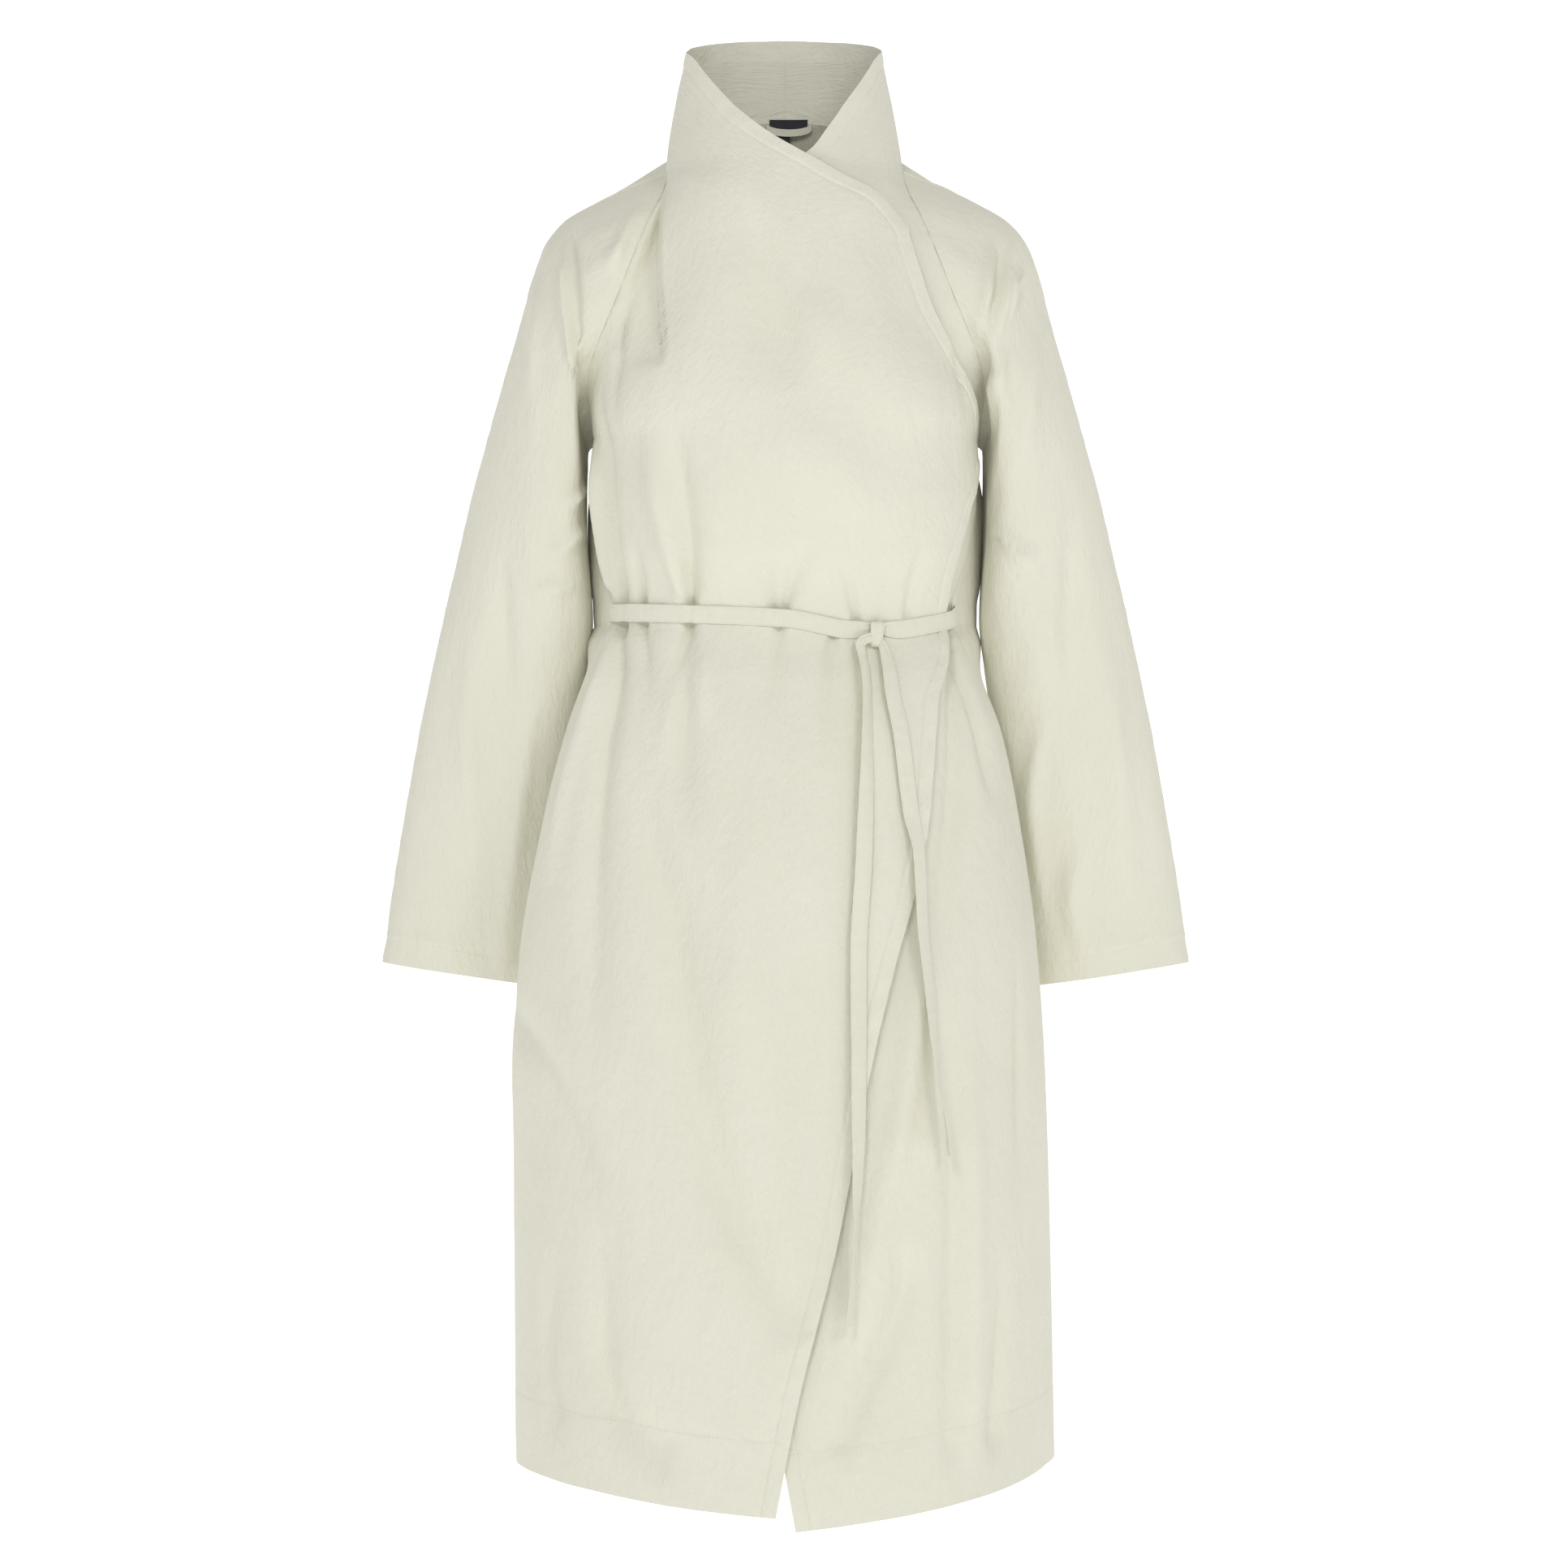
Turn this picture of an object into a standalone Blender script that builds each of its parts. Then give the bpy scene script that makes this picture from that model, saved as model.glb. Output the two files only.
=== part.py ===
"""A light wrap coat with a high collar, raglan sleeves and a narrow tie, in its worn shape.

Metres, +Z up. The origin is the middle of the neck base, level with the two neck points.
The wearer faces -Y, so the wearer's right is at -X. The right front lies over the left.
"""

import math

import bmesh
import bpy
import numpy as np

# ---- driving sizes ----
WALL = 0.0012  # cloth wall of every panel
SEAM_GAP = 0.0003  # between two panels at a seam
LAYER_LIFT = 0.0033  # how far the outer front stands off the common form, and the under one sinks
LAYER_RAMP = 0.16  # share of a quarter section over which the lift grows from the side seam
CIRCLE_HANDLE = 0.5523  # handle of a cubic curve that follows a quarter of an ellipse
FRONT_FLATNESS = 1.16  # lengthens the handle at the centre, so the fronts are flatter there
RIGHT = -1  # side signs along X
LEFT = 1

# ---- levels ----
UNDERARM_Z = -0.228
NECK_POINT_Z = -0.002
NECK_BACK_Z = 0.050  # back neck seam at the centre
COLLAR_CORNER_Z = 0.101  # side corner of the collar's top edge
COLLAR_BACK_Z = 0.121  # top edge at the centre back
TIE_Z = -0.3735  # middle of the tie at the side seams
BAND_HALF = 0.009  # the cloth is pressed flat this far above and below the middle of the tie
TIE_TOP_Z = TIE_Z + BAND_HALF
TIE_LOW_Z = TIE_Z - BAND_HALF
BACK_NECK_SHARE = 0.55  # where the back raglan seam meets the neck, as a share of the back quarter
CORNER_SHARE = 0.02  # where the collar's corner lies, as a share of the back quarter
FURTHEST_ROUND = 1.87  # how far round a free edge reaches at most
ROUND_SCALE = 0.15  # metres round the body for one quarter section, used to space the free edge

# ---- pieces' grids ----
FRONT_COLUMNS = 18
UNDER_COLUMNS = 16
BACK_COLUMNS = 14
ROWS_SKIRT = 11
ROWS_BAND = 2
ROWS_BLOUSE = 4
ROWS_FRONT_ARMHOLE = 10
ROWS_BACK_ARMHOLE = 8
ROWS_NECK_SIDE = 3
SLEEVE_ROWS = 16

# Front raglan seam, from the underarm to the neck point: distance from the middle, depth, height.
FRONT_ARMHOLE = (
    # x, y, z
    (0.1585, 0.018, UNDERARM_Z),
    (0.1660, -0.016, -0.192),
    (0.1630, -0.036, -0.171),
    (0.1550, -0.053, -0.150),
    (0.1410, -0.066, -0.120),
    (0.1265, -0.068, -0.084),
    (0.1115, -0.058, -0.047),
    (0.1010, -0.036, -0.022),
    (0.0980, 0.000, NECK_POINT_Z),
)

# Back raglan seam, from the underarm up. Its top point is on the collar's base.
BACK_ARMHOLE = (
    # x, y, z
    (0.1585, 0.018, UNDERARM_Z),
    (0.1600, 0.050, -0.197),
    (0.1510, 0.078, -0.145),
    (0.1290, 0.092, -0.085),
    (0.1050, 0.089, -0.035),
    (0.0850, 0.076, 0.005),
)

# Side seam, from the underarm down. The tie draws it in at the waist.
SIDE_SEAM = (
    # z, right x, left x, y
    (UNDERARM_Z, 0.1585, 0.1585, 0.018),
    (-0.270, 0.1600, 0.1600, 0.008),
    (-0.320, 0.1530, 0.1530, -0.006),
    (-0.350, 0.1460, 0.1430, -0.015),
    (TIE_TOP_Z, 0.1432, 0.1388, -0.018),
    (TIE_LOW_Z, 0.1438, 0.1392, -0.018),
    (-0.394, 0.1535, 0.1450, -0.020),
    (-0.425, 0.1660, 0.1600, -0.022),
    (-0.470, 0.1820, 0.1790, -0.018),
    (-0.552, 0.2030, 0.1960, -0.010),
    (-0.650, 0.2200, 0.2100, 0.000),
    (-0.770, 0.2280, 0.2180, 0.006),
    (-0.950, 0.2270, 0.2230, 0.010),
    (-1.130, 0.2225, 0.2260, 0.010),
)

# Neck seam behind the neck points, as a share of the back quarter.
NECK_SEAM = (
    # share, z
    (0.00, NECK_POINT_Z),
    (0.20, 0.005),
    (0.40, 0.022),
    (0.55, 0.036),
    (0.75, 0.046),
    (1.00, NECK_BACK_Z),
)

# Collar above the neck points: half-width and side depth.
COLLAR_SIDE = (
    # z, x, y
    (0.020, 0.0950, 0.003),
    (0.050, 0.0900, 0.005),
    (0.100, 0.0805, 0.006),
    (0.130, 0.0770, 0.006),
)

# Centre front: how far forward it lies, and the direction in which a section leaves the side,
# 90 for straight forward, less for inward, more for outward.
FRONT_DEPTH = (
    # z, depth, turn
    (0.130, 0.056, 90),
    (0.050, 0.072, 90),
    (0.000, 0.088, 88),
    (-0.022, 0.094, 62),
    (-0.047, 0.101, 36),
    (-0.084, 0.109, 22),
    (-0.120, 0.116, 24),
    (-0.150, 0.121, 36),
    (-0.171, 0.124, 50),
    (-0.190, 0.126, 66),
    (-0.228, 0.128, 92),
    (-0.270, 0.126, 94),
    (-0.320, 0.118, 93),
    (TIE_TOP_Z, 0.103, 90),
    (TIE_LOW_Z, 0.103, 90),
    (-0.430, 0.113, 90),
    (-0.500, 0.126, 90),
    (-0.600, 0.136, 90),
    (-0.800, 0.147, 90),
    (-1.130, 0.157, 90),
)

# Centre back, in the same way. The tie draws in the fronts alone, so the back stays full at the
# waist and stands out beside them.
BACK_DEPTH = (
    # z, depth, turn at the right, turn at the left, fullness
    (0.130, 0.072, 90, 90, 1.0),
    (0.050, 0.066, 60, 60, 1.0),
    (0.000, 0.086, 14, 14, 1.0),
    (-0.050, 0.102, 12, 12, 1.0),
    (-0.085, 0.109, 15, 15, 1.0),
    (-0.145, 0.115, 36, 36, 1.0),
    (-0.195, 0.118, 66, 66, 1.0),
    (-0.228, 0.119, 90, 90, 1.0),
    (-0.270, 0.118, 108, 109, 1.1),
    (-0.320, 0.116, 118, 118, 1.4),
    (TIE_TOP_Z, 0.115, 125, 130, 1.45),
    (TIE_LOW_Z, 0.115, 123, 129, 1.45),
    (-0.430, 0.119, 96, 102, 1.1),
    (-0.500, 0.125, 84, 86, 1.0),
    (-0.600, 0.132, 78, 78, 1.0),
    (-0.800, 0.142, 84, 84, 1.0),
    (-1.130, 0.151, 88, 88, 1.0),
)

# The tie dips across the front, and the pressed band of cloth goes with it.
TIE_SAG = (
    # x, drop
    (-0.143, 0.000),
    (-0.080, 0.003),
    (0.000, 0.007),
    (0.072, 0.0195),
    (0.110, 0.012),
    (0.132, 0.006),
    (0.139, 0.000),
)
SAG_REACH = 0.045  # height over which the dip fades out above and below

# Free edge of the wrap, from the hem corner up to the collar's corner, as seen from the front.
WRAP_EDGE = (
    # x, z
    (-0.008, -1.102),
    (0.011, -1.006),
    (0.040, -0.890),
    (0.067, -0.748),
    (0.086, -0.666),
    (0.112, -0.564),
    (0.122, -0.452),
    (0.130, TIE_Z),
    (0.136, -0.333),
    (0.150, -0.288),
    (0.160, -0.246),
    (0.162, -0.196),
    (0.156, -0.150),
    (0.145, -0.118),
    (0.138, -0.087),
    (0.121, -0.064),
    (0.078, -0.0375),
    (0.044, -0.0186),
    (0.016, -0.0015),
    (-0.033, 0.033),
    (-0.058, 0.063),
    (-0.074, 0.088),
)
# The left front's own free edge above the chest, where it shows, in the same way. Below, it is the
# right one's mirror image.
UNDER_EDGE_TOP = (
    # distance from the middle, z
    (-0.0156, 0.001),
    (-0.0360, 0.0257),
    (-0.0520, 0.0500),
    (-0.0690, 0.0747),
    (-0.0770, 0.0890),
)
UNDER_EDGE_BELOW = -0.030  # the mirror image is used up to this height

SIDE_HEM_Z = -1.078

# Hem height along a front, as a share of the way from the side seam to the free edge.
FRONT_HEM = (
    # share, outer front z, under front z
    (0.00, SIDE_HEM_Z, SIDE_HEM_Z),
    (0.25, -1.080, -1.082),
    (0.55, -1.086, -1.093),
    (0.80, -1.095, -1.105),
    (1.00, -1.102, -1.114),
)
BACK_HEM_DROP = 0.008  # how much lower the hem hangs at the centre back

# Folds of the fronts, as lines seen from the front. A ridge has a positive rise, a trough a
# negative one, given at the line's two ends and at its middle.
FRONT_FOLDS = (
    # x and z of the upper end, middle and lower end, rise at each, width
    ((-0.125, -0.090), (-0.135, -0.140), (-0.132, -0.223), (-0.002, -0.004, 0.000), 0.014),
    ((-0.145, -0.190), (-0.142, -0.271), (-0.1346, -0.372), (0.000, -0.004, -0.004), 0.014),
    ((-0.087, -0.226), (-0.081, -0.290), (-0.0765, -0.372), (0.000, -0.004, -0.004), 0.014),
    ((-0.114, -0.232), (-0.099, -0.290), (-0.083, -0.372), (0.000, 0.004, 0.002), 0.014),
    ((-0.1300, -0.388), (-0.145, -0.500), (-0.150, -0.720), (-0.004, -0.006, 0.000), 0.020),
    ((-0.078, -0.388), (-0.086, -0.440), (-0.073, -0.540), (-0.004, -0.004, 0.000), 0.018),
    ((-0.130, -0.489), (-0.085, -0.650), (-0.030, -0.880), (0.000, -0.006, 0.000), 0.024),
    ((-0.214, -0.737), (-0.172, -0.800), (-0.160, -0.860), (-0.002, -0.005, 0.000), 0.022),
    ((0.120, -0.388), (0.126, -0.520), (0.118, -0.670), (-0.003, -0.005, 0.000), 0.018),
    ((0.112, -0.680), (0.090, -0.800), (0.060, -0.970), (0.000, 0.006, 0.000), 0.022),
    ((0.020, -0.300), (0.010, -0.335), (0.000, -0.372), (0.000, -0.003, -0.003), 0.014),
)

# Folds of the back, seen in the same X. They hang from the shoulder blades and the drawn-in waist.
BACK_FOLDS = (
    ((-0.062, -0.120), (-0.078, -0.300), (-0.092, -0.520), (0.000, -0.006, 0.000), 0.017),
    ((0.058, -0.100), (0.070, -0.280), (0.088, -0.500), (0.000, -0.007, 0.000), 0.018),
    ((-0.118, -0.330), (-0.126, -0.480), (-0.146, -0.720), (-0.004, -0.009, 0.000), 0.017),
    ((0.114, -0.320), (0.128, -0.500), (0.150, -0.760), (-0.004, -0.008, 0.000), 0.017),
    ((-0.030, -0.380), (-0.036, -0.640), (-0.052, -1.000), (0.000, -0.008, -0.003), 0.024),
    ((0.022, -0.340), (0.030, -0.620), (0.038, -1.040), (0.000, 0.007, 0.003), 0.026),
    ((0.078, -0.480), (0.092, -0.740), (0.104, -1.060), (0.000, -0.007, -0.003), 0.024),
    ((-0.100, -0.600), (-0.112, -0.800), (-0.120, -1.060), (0.000, -0.006, -0.003), 0.022),
)

# The collar's cloth drops to the chest beside the right raglan seam and stands over it as a step.
CHEST_STEP = (
    # z, x of the step, drop behind it
    (-0.018, -0.1000, 0.000),
    (-0.040, -0.1025, 0.014),
    (-0.080, -0.1035, 0.018),
    (-0.125, -0.1020, 0.014),
    (-0.172, -0.0990, 0.000),
)
FOLD_MARGIN = 0.08  # share of a quarter section over which folds fade out at the side seam
STEP_WIDTH = 0.017
STEP_REACH = 0.036  # how far the hollow behind the step runs before it is shallow again

# Sleeve, as rings between the overarm line and the underarm line.
SLEEVE_RINGS = (
    # overarm x, z, underarm x, z, middle y, half-depth, how much nearer the right one lies
    (0.0980, -0.002, 0.1585, -0.228, 0.012, 0.080, 0.000),
    (0.1290, -0.014, 0.1680, -0.236, 0.012, 0.077, 0.000),
    (0.1605, -0.029, 0.1720, -0.252, 0.011, 0.072, 0.000),
    (0.1840, -0.042, 0.1725, -0.272, 0.011, 0.067, 0.000),
    (0.2000, -0.060, 0.1715, -0.294, 0.012, 0.063, 0.000),
    (0.2115, -0.088, 0.1695, -0.316, 0.014, 0.061, 0.001),
    (0.2220, -0.126, 0.1675, -0.338, 0.016, 0.059, 0.002),
    (0.2434, -0.199, 0.1675, -0.378, 0.021, 0.056, 0.001),
    (0.2630, -0.267, 0.1735, -0.418, 0.029, 0.052, 0.001),
    (0.2780, -0.327, 0.1775, -0.458, 0.039, 0.048, 0.000),
    (0.2930, -0.388, 0.1810, -0.502, 0.049, 0.043, 0.000),
    (0.3110, -0.470, 0.1870, -0.556, 0.058, 0.038, 0.000),
    (0.3264, -0.553, 0.1950, -0.614, 0.065, 0.033, 0.000),
    (0.3366, -0.615, 0.2010, -0.654, 0.069, 0.030, 0.000),
    (0.3447, -0.667, 0.2060, -0.6880, 0.072, 0.028, 0.000),
)
RAGLAN_BLEND = 0.30  # share of the sleeve over which the raglan seam's own shape fades out

# Folds that run down a sleeve: place round the ring at the two ends (0 underarm, 0.5 overarm, by
# the front), start and end along the sleeve, rise, width round the ring.
SLEEVE_FRONT_FOLDS = (
    (0.36, 0.22, 0.16, 0.50, -0.008, 0.030),
    (0.40, 0.34, 0.24, 0.60, 0.005, 0.035),
    (0.20, 0.17, 0.62, 0.98, -0.004, 0.035),
)
SLEEVE_BACK_FOLDS = (
    (0.66, 0.78, 0.14, 0.50, -0.007, 0.032),
    (0.62, 0.66, 0.30, 0.80, 0.004, 0.040),
    (0.80, 0.84, 0.45, 0.90, -0.004, 0.030),
)

# ---- tie, loop and labels ----
TIE_WIDTH = 0.0145
TIE_THICKNESS = 0.0012
TIE_OFF_CLOTH = 0.0014  # from the outer wall's face to the tie's middle surface
TIE_COLUMNS = 40  # on the long stretch, and in proportion on the short one
TIE_END_MARGIN = 0.012  # share of a quarter section that the tie stops short of the side seam
KNOT_X = 0.072
KNOT_SIZE = (0.030, 0.012, 0.024)
KNOT_TILT = 22  # degrees, seen from the front
KNOT_GAP = 0.0004
KNOT_ROUNDED = 0.41  # from the middle of the rounded knot to its side, as a share of its cage
END_ROWS = 22

# Hanging ends of the tie, on the skirt. A turn of 0 lies flat on it and 90 stands on its edge.
LONG_END = (
    # x, z, turn, distance from the outer front's face
    (0.0700, -0.4066, 40, 0.0065),
    (0.0645, -0.4400, 52, 0.0070),
    (0.0635, -0.4880, 44, 0.0075),
    (0.0610, -0.5770, 38, 0.0070),
    (0.0570, -0.6550, 34, 0.0065),
    (0.0570, -0.7330, 40, 0.0070),
    (0.0567, -0.7930, 52, 0.0080),
    (0.0555, -0.8405, 60, 0.0085),
    (0.0534, -0.8764, 70, 0.0090),
    (0.0525, -0.9089, 62, 0.0090),
    (0.0500, -0.9486, 58, 0.0085),
)
SHORT_END = (
    (0.0815, -0.4073, 20, 0.0085),
    (0.0830, -0.4400, 20, 0.0050),
    (0.0904, -0.4722, 10, 0.0040),
    (0.0988, -0.5377, 8, 0.0035),
    (0.1045, -0.5700, 26, 0.0055),
    (0.1072, -0.6292, 30, 0.0060),
    (0.1116, -0.6780, 34, 0.0075),
    (0.1150, -0.7205, 46, 0.0085),
    (0.1194, -0.7596, 58, 0.0090),
    (0.1240, -0.7935, 68, 0.0095),
    (0.1262, -0.8150, 74, 0.0095),
)

LABEL_THICKNESS = 0.0008
LABEL_GAP = 0.0004
# Inside the back neck: middle x, upper z, width, height, distance in front of the neck seam.
NECK_LABEL = (0.0025, 0.0520, 0.0325, 0.0070, 0.0000)
SIZE_TAB = (-0.0015, 0.0446, 0.0105, 0.0138, 0.0000)
LOOP_X = (-0.0160, 0.0220)
LOOP_Z = (0.0500, 0.0435)  # at its two ends and at its lowest
LOOP_WIDTH = 0.0062
LOOP_AHEAD = 0.0024  # of its middle; its ends lie on the neck seam

CLOTH_COLOR = (0.760, 0.740, 0.630, 1.0)
LABEL_COLOR = (0.020, 0.022, 0.028, 1.0)


# ---- curves and tables ----
def smooth(positions, knots, values):
    """Values at the positions, on a smooth curve through the rows of a table."""
    order = np.argsort(knots)
    knots = np.asarray(knots, float)[order]
    values = np.asarray(values, float)[order]
    steps = np.diff(knots)
    slopes = np.diff(values) / steps
    tangents = np.zeros(len(knots))
    same_way = slopes[1:] * slopes[:-1] > 0
    sums = slopes[1:] + slopes[:-1]
    tangents[1:-1][same_way] = 2 * slopes[1:][same_way] * slopes[:-1][same_way] / sums[same_way]
    tangents[0] = slopes[0]
    tangents[-1] = slopes[-1]
    positions = np.clip(positions, knots[0], knots[-1])
    cell = np.clip(np.searchsorted(knots, positions, side="right") - 1, 0, len(steps) - 1)
    share = (positions - knots[cell]) / steps[cell]
    start = (1 + 2 * share) * (1 - share) ** 2 * values[cell]
    end = share**2 * (3 - 2 * share) * values[cell + 1]
    leave = share * (1 - share) ** 2 * steps[cell] * tangents[cell]
    arrive = share**2 * (share - 1) * steps[cell] * tangents[cell + 1]
    return start + end + leave + arrive


def column(table, index):
    return [row[index] for row in table]


def eased(share):
    share = np.clip(share, 0.0, 1.0)
    return share * share * (3 - 2 * share)


def along(points, count):
    """Count + 1 points at even distances along a dense line of points."""
    lengths = np.r_[0, np.cumsum(np.linalg.norm(np.diff(points, axis=0), axis=1))]
    stops = np.linspace(0, lengths[-1], count + 1)
    return np.stack([np.interp(stops, lengths, points[:, k]) for k in range(points.shape[1])], axis=1)


def dense_curve(rows, count=200):
    """A dense smooth line through a few points, each a row of coordinates."""
    rows = np.asarray(rows, float)
    knots = np.r_[0, np.cumsum(np.linalg.norm(np.diff(rows, axis=0), axis=1))]
    places = np.linspace(0, knots[-1], count)
    return np.stack([smooth(places, knots, rows[:, k]) for k in range(rows.shape[1])], axis=1)


# ---- the coat's form ----
def side_point(height, side, face):
    """The end of a section at the raglan or side seam: half-width and depth. Face is -1 in front."""
    armhole = FRONT_ARMHOLE if face < 0 else BACK_ARMHOLE
    heights = column(armhole, 2)
    widths = column(armhole, 0)
    depths = column(armhole, 1)
    if face < 0:
        heights += column(COLLAR_SIDE, 0)
        widths += column(COLLAR_SIDE, 1)
        depths += column(COLLAR_SIDE, 2)
    seam = [column(SIDE_SEAM, 0), column(SIDE_SEAM, 1 if side == RIGHT else 2), column(SIDE_SEAM, 3)]
    below = np.asarray(height) < UNDERARM_Z
    x = np.where(below, smooth(height, seam[0], seam[1]), smooth(height, heights, widths))
    y = np.where(below, smooth(height, seam[0], seam[2]), smooth(height, heights, depths))
    return x, y


def quarter(share, height, side, face, ends):
    """A quarter section from the side, at share 0, to the centre, at share 1."""
    end_x, end_y = ends
    table = FRONT_DEPTH if face < 0 else BACK_DEPTH
    depth = face * smooth(height, column(table, 0), column(table, 1))
    turn_column = 3 if face > 0 and side == LEFT else 2
    turn = np.radians(smooth(height, column(table, 0), column(table, turn_column)))
    reach_x = end_x
    reach_y = depth - end_y
    handle = CIRCLE_HANDLE * (np.abs(reach_x * np.cos(turn)) + np.abs(reach_y * np.sin(turn)))
    first_x = end_x - handle * np.cos(turn)
    first_y = end_y + face * handle * np.sin(turn)
    flatness = FRONT_FLATNESS if face < 0 else smooth(height, column(table, 0), column(table, 4))
    second_x = CIRCLE_HANDLE * flatness * reach_x
    rest = 1 - share
    weights = (rest**3, 3 * rest**2 * share, 3 * rest * share**2, share**3)
    x = weights[0] * end_x + weights[1] * first_x + weights[2] * second_x
    y = weights[0] * end_y + weights[1] * first_y + (weights[2] + weights[3]) * depth
    return side * x, y


def collar_back(share, height, side):
    """The back quarter of the collar: it starts at the collar's side and ends at the centre back."""
    end_x, end_y = side_point(height, side, -1)
    depth = smooth(height, (0.0, NECK_BACK_Z, 0.130), (0.060, 0.066, 0.075))
    angle = share * math.pi / 2
    return side * end_x * np.cos(angle), end_y + (depth - end_y) * np.sin(angle)


def place(round_front, height):
    """A point of the fronts' form. Round_front is -1 at the centre back of the collar, 0 at the
    right side, 1 at the centre front, 2 at the left side and 3 at the centre back again."""
    round_front, height = np.broadcast_arrays(round_front, height)
    x = np.zeros(height.shape)
    y = np.zeros(height.shape)
    for side in (RIGHT, LEFT):
        share = round_front if side == RIGHT else 2 - round_front
        front = (share >= 0) & (share <= 1)
        behind = share < 0
        ends = side_point(height, side, -1)
        front_x, front_y = quarter(share, height, side, -1, ends)
        back_x, back_y = collar_back(-share, height, side)
        x = np.where(front, front_x, np.where(behind, back_x, x))
        y = np.where(front, front_y, np.where(behind, back_y, y))
    return np.stack([x, y, height - dip(x, height)], axis=-1)


def dip(x, height):
    """How far the cloth near the tie goes down with it."""
    sag = smooth(x, column(TIE_SAG, 0), column(TIE_SAG, 1))
    return sag * np.exp(-(((height - TIE_Z) / SAG_REACH) ** 2))


def undipped(x, z):
    """The height that the dip brings down to z."""
    height = z
    for _ in range(12):
        height = (height + z + dip(x, height)) / 2
    return height


def outward(form, across, height):
    """The unit direction out of a form, a function of two numbers that gives points."""
    small = 0.004
    by_across = form(across + small, height) - form(across - small, height)
    by_height = form(across, height + small) - form(across, height - small)
    normal = np.cross(by_across, by_height)
    return normal / np.maximum(np.linalg.norm(normal, axis=-1, keepdims=True), 1e-9)


def fold_rise(x, height, folds):
    """Sum of the folds' rises at points given by X and height."""
    total = np.zeros(np.shape(height))
    for upper, middle, lower, rises, width in folds:
        knots = (lower[1], middle[1], upper[1])
        line = smooth(height, knots, (lower[0], middle[0], upper[0]))
        rise = smooth(height, knots, rises[::-1])
        inside = eased((height - lower[1]) / 0.012 + 0.5) * eased((upper[1] - height) / 0.012 + 0.5)
        total += inside * rise * np.exp(-(((x - line) / width) ** 2))
    return total


def step_drop(x, height):
    """Depth of the hollow behind the step at the right of the chest."""
    line = smooth(height, column(CHEST_STEP, 0), column(CHEST_STEP, 1))
    drop = smooth(height, column(CHEST_STEP, 0), column(CHEST_STEP, 2))
    behind = line - x
    return drop * eased(behind / STEP_WIDTH + 0.5) * (1 - eased(behind / STEP_REACH))


def front_form(round_front, height, lift=0.0):
    """The fronts' form with its folds, moved out by lift."""
    points = place(round_front, height)
    normal = outward(place, round_front, height)
    rise = fold_rise(points[..., 0], height, FRONT_FOLDS)
    from_side = np.minimum(round_front, 2 - round_front)
    in_front = from_side > 0
    rise = rise * eased(from_side / FOLD_MARGIN)
    rise = np.where(rise > 0, rise * eased(np.abs(height - TIE_Z) / (3 * BAND_HALF)), rise)
    points = points + normal * (rise + lift)[..., None]
    drop = step_drop(points[..., 0], height) * eased(from_side / FOLD_MARGIN)
    points[..., 1] += np.where(in_front, drop, 0.0)
    return points


def round_at(x, height):
    """Where on the fronts' form, from -1 to 3, a point seen at X from the front lies."""
    shares = np.linspace(0.04, 1.96, 400)
    found = []
    for one_x, one_z in zip(x, height):
        line = place(shares, np.full(shares.shape, one_z))[:, 0]
        first = int(np.argmin(line))
        last = int(np.argmax(line))
        found.append(np.interp(one_x, line[first : last + 1], shares[first : last + 1]))
    return np.clip(found, 2 - FURTHEST_ROUND, FURTHEST_ROUND)


# ---- the fronts' outline ----
def wrap_edge(side):
    """The free edge as dense (round_front, height) lines: hem to tie, to underarm, to the corner."""
    rows = WRAP_EDGE
    if side == LEFT:
        rows = tuple(row for row in WRAP_EDGE if row[1] < UNDER_EDGE_BELOW) + UNDER_EDGE_TOP
    x = np.array(column(rows, 0))
    z = np.array(column(rows, 1))
    knots = np.stack([round_at(x, z) * ROUND_SCALE, z], axis=1)
    corner = np.array([[-CORNER_SHARE * ROUND_SCALE, COLLAR_CORNER_Z]])
    edge = dense_curve(np.concatenate([knots, corner]), 260) / (ROUND_SCALE, 1)
    low, top, underarm = [
        int(np.argmin(np.abs(edge[:, 1] - level))) for level in (TIE_LOW_Z, TIE_TOP_Z, UNDERARM_Z)
    ]
    return edge[: low + 1], edge[low : top + 1], edge[top : underarm + 1], edge[underarm:]


def neck_height(share):
    """Height of the neck seam behind, from the neck point, at share 0, to the centre back."""
    return smooth(share, column(NECK_SEAM, 0), column(NECK_SEAM, 1))


def front_armhole_points(side):
    """The front raglan seam from the underarm to the neck point."""
    heights = along(dense_curve(FRONT_ARMHOLE), ROWS_FRONT_ARMHOLE)[:, 2]
    x, y = side_point(heights, side, -1)
    return np.stack([side * x, y, heights], axis=1)


def body_levels():
    """Heights of the rows at a side seam, from the hem up to the underarm."""
    stretches = (
        (SIDE_HEM_Z, TIE_LOW_Z, ROWS_SKIRT),
        (TIE_LOW_Z, TIE_TOP_Z, ROWS_BAND),
        (TIE_TOP_Z, UNDERARM_Z, ROWS_BLOUSE),
    )
    levels = [SIDE_HEM_Z]
    for low, high, count in stretches:
        levels.extend(np.linspace(low, high, count + 1)[1:])
    return np.array(levels)


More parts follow.
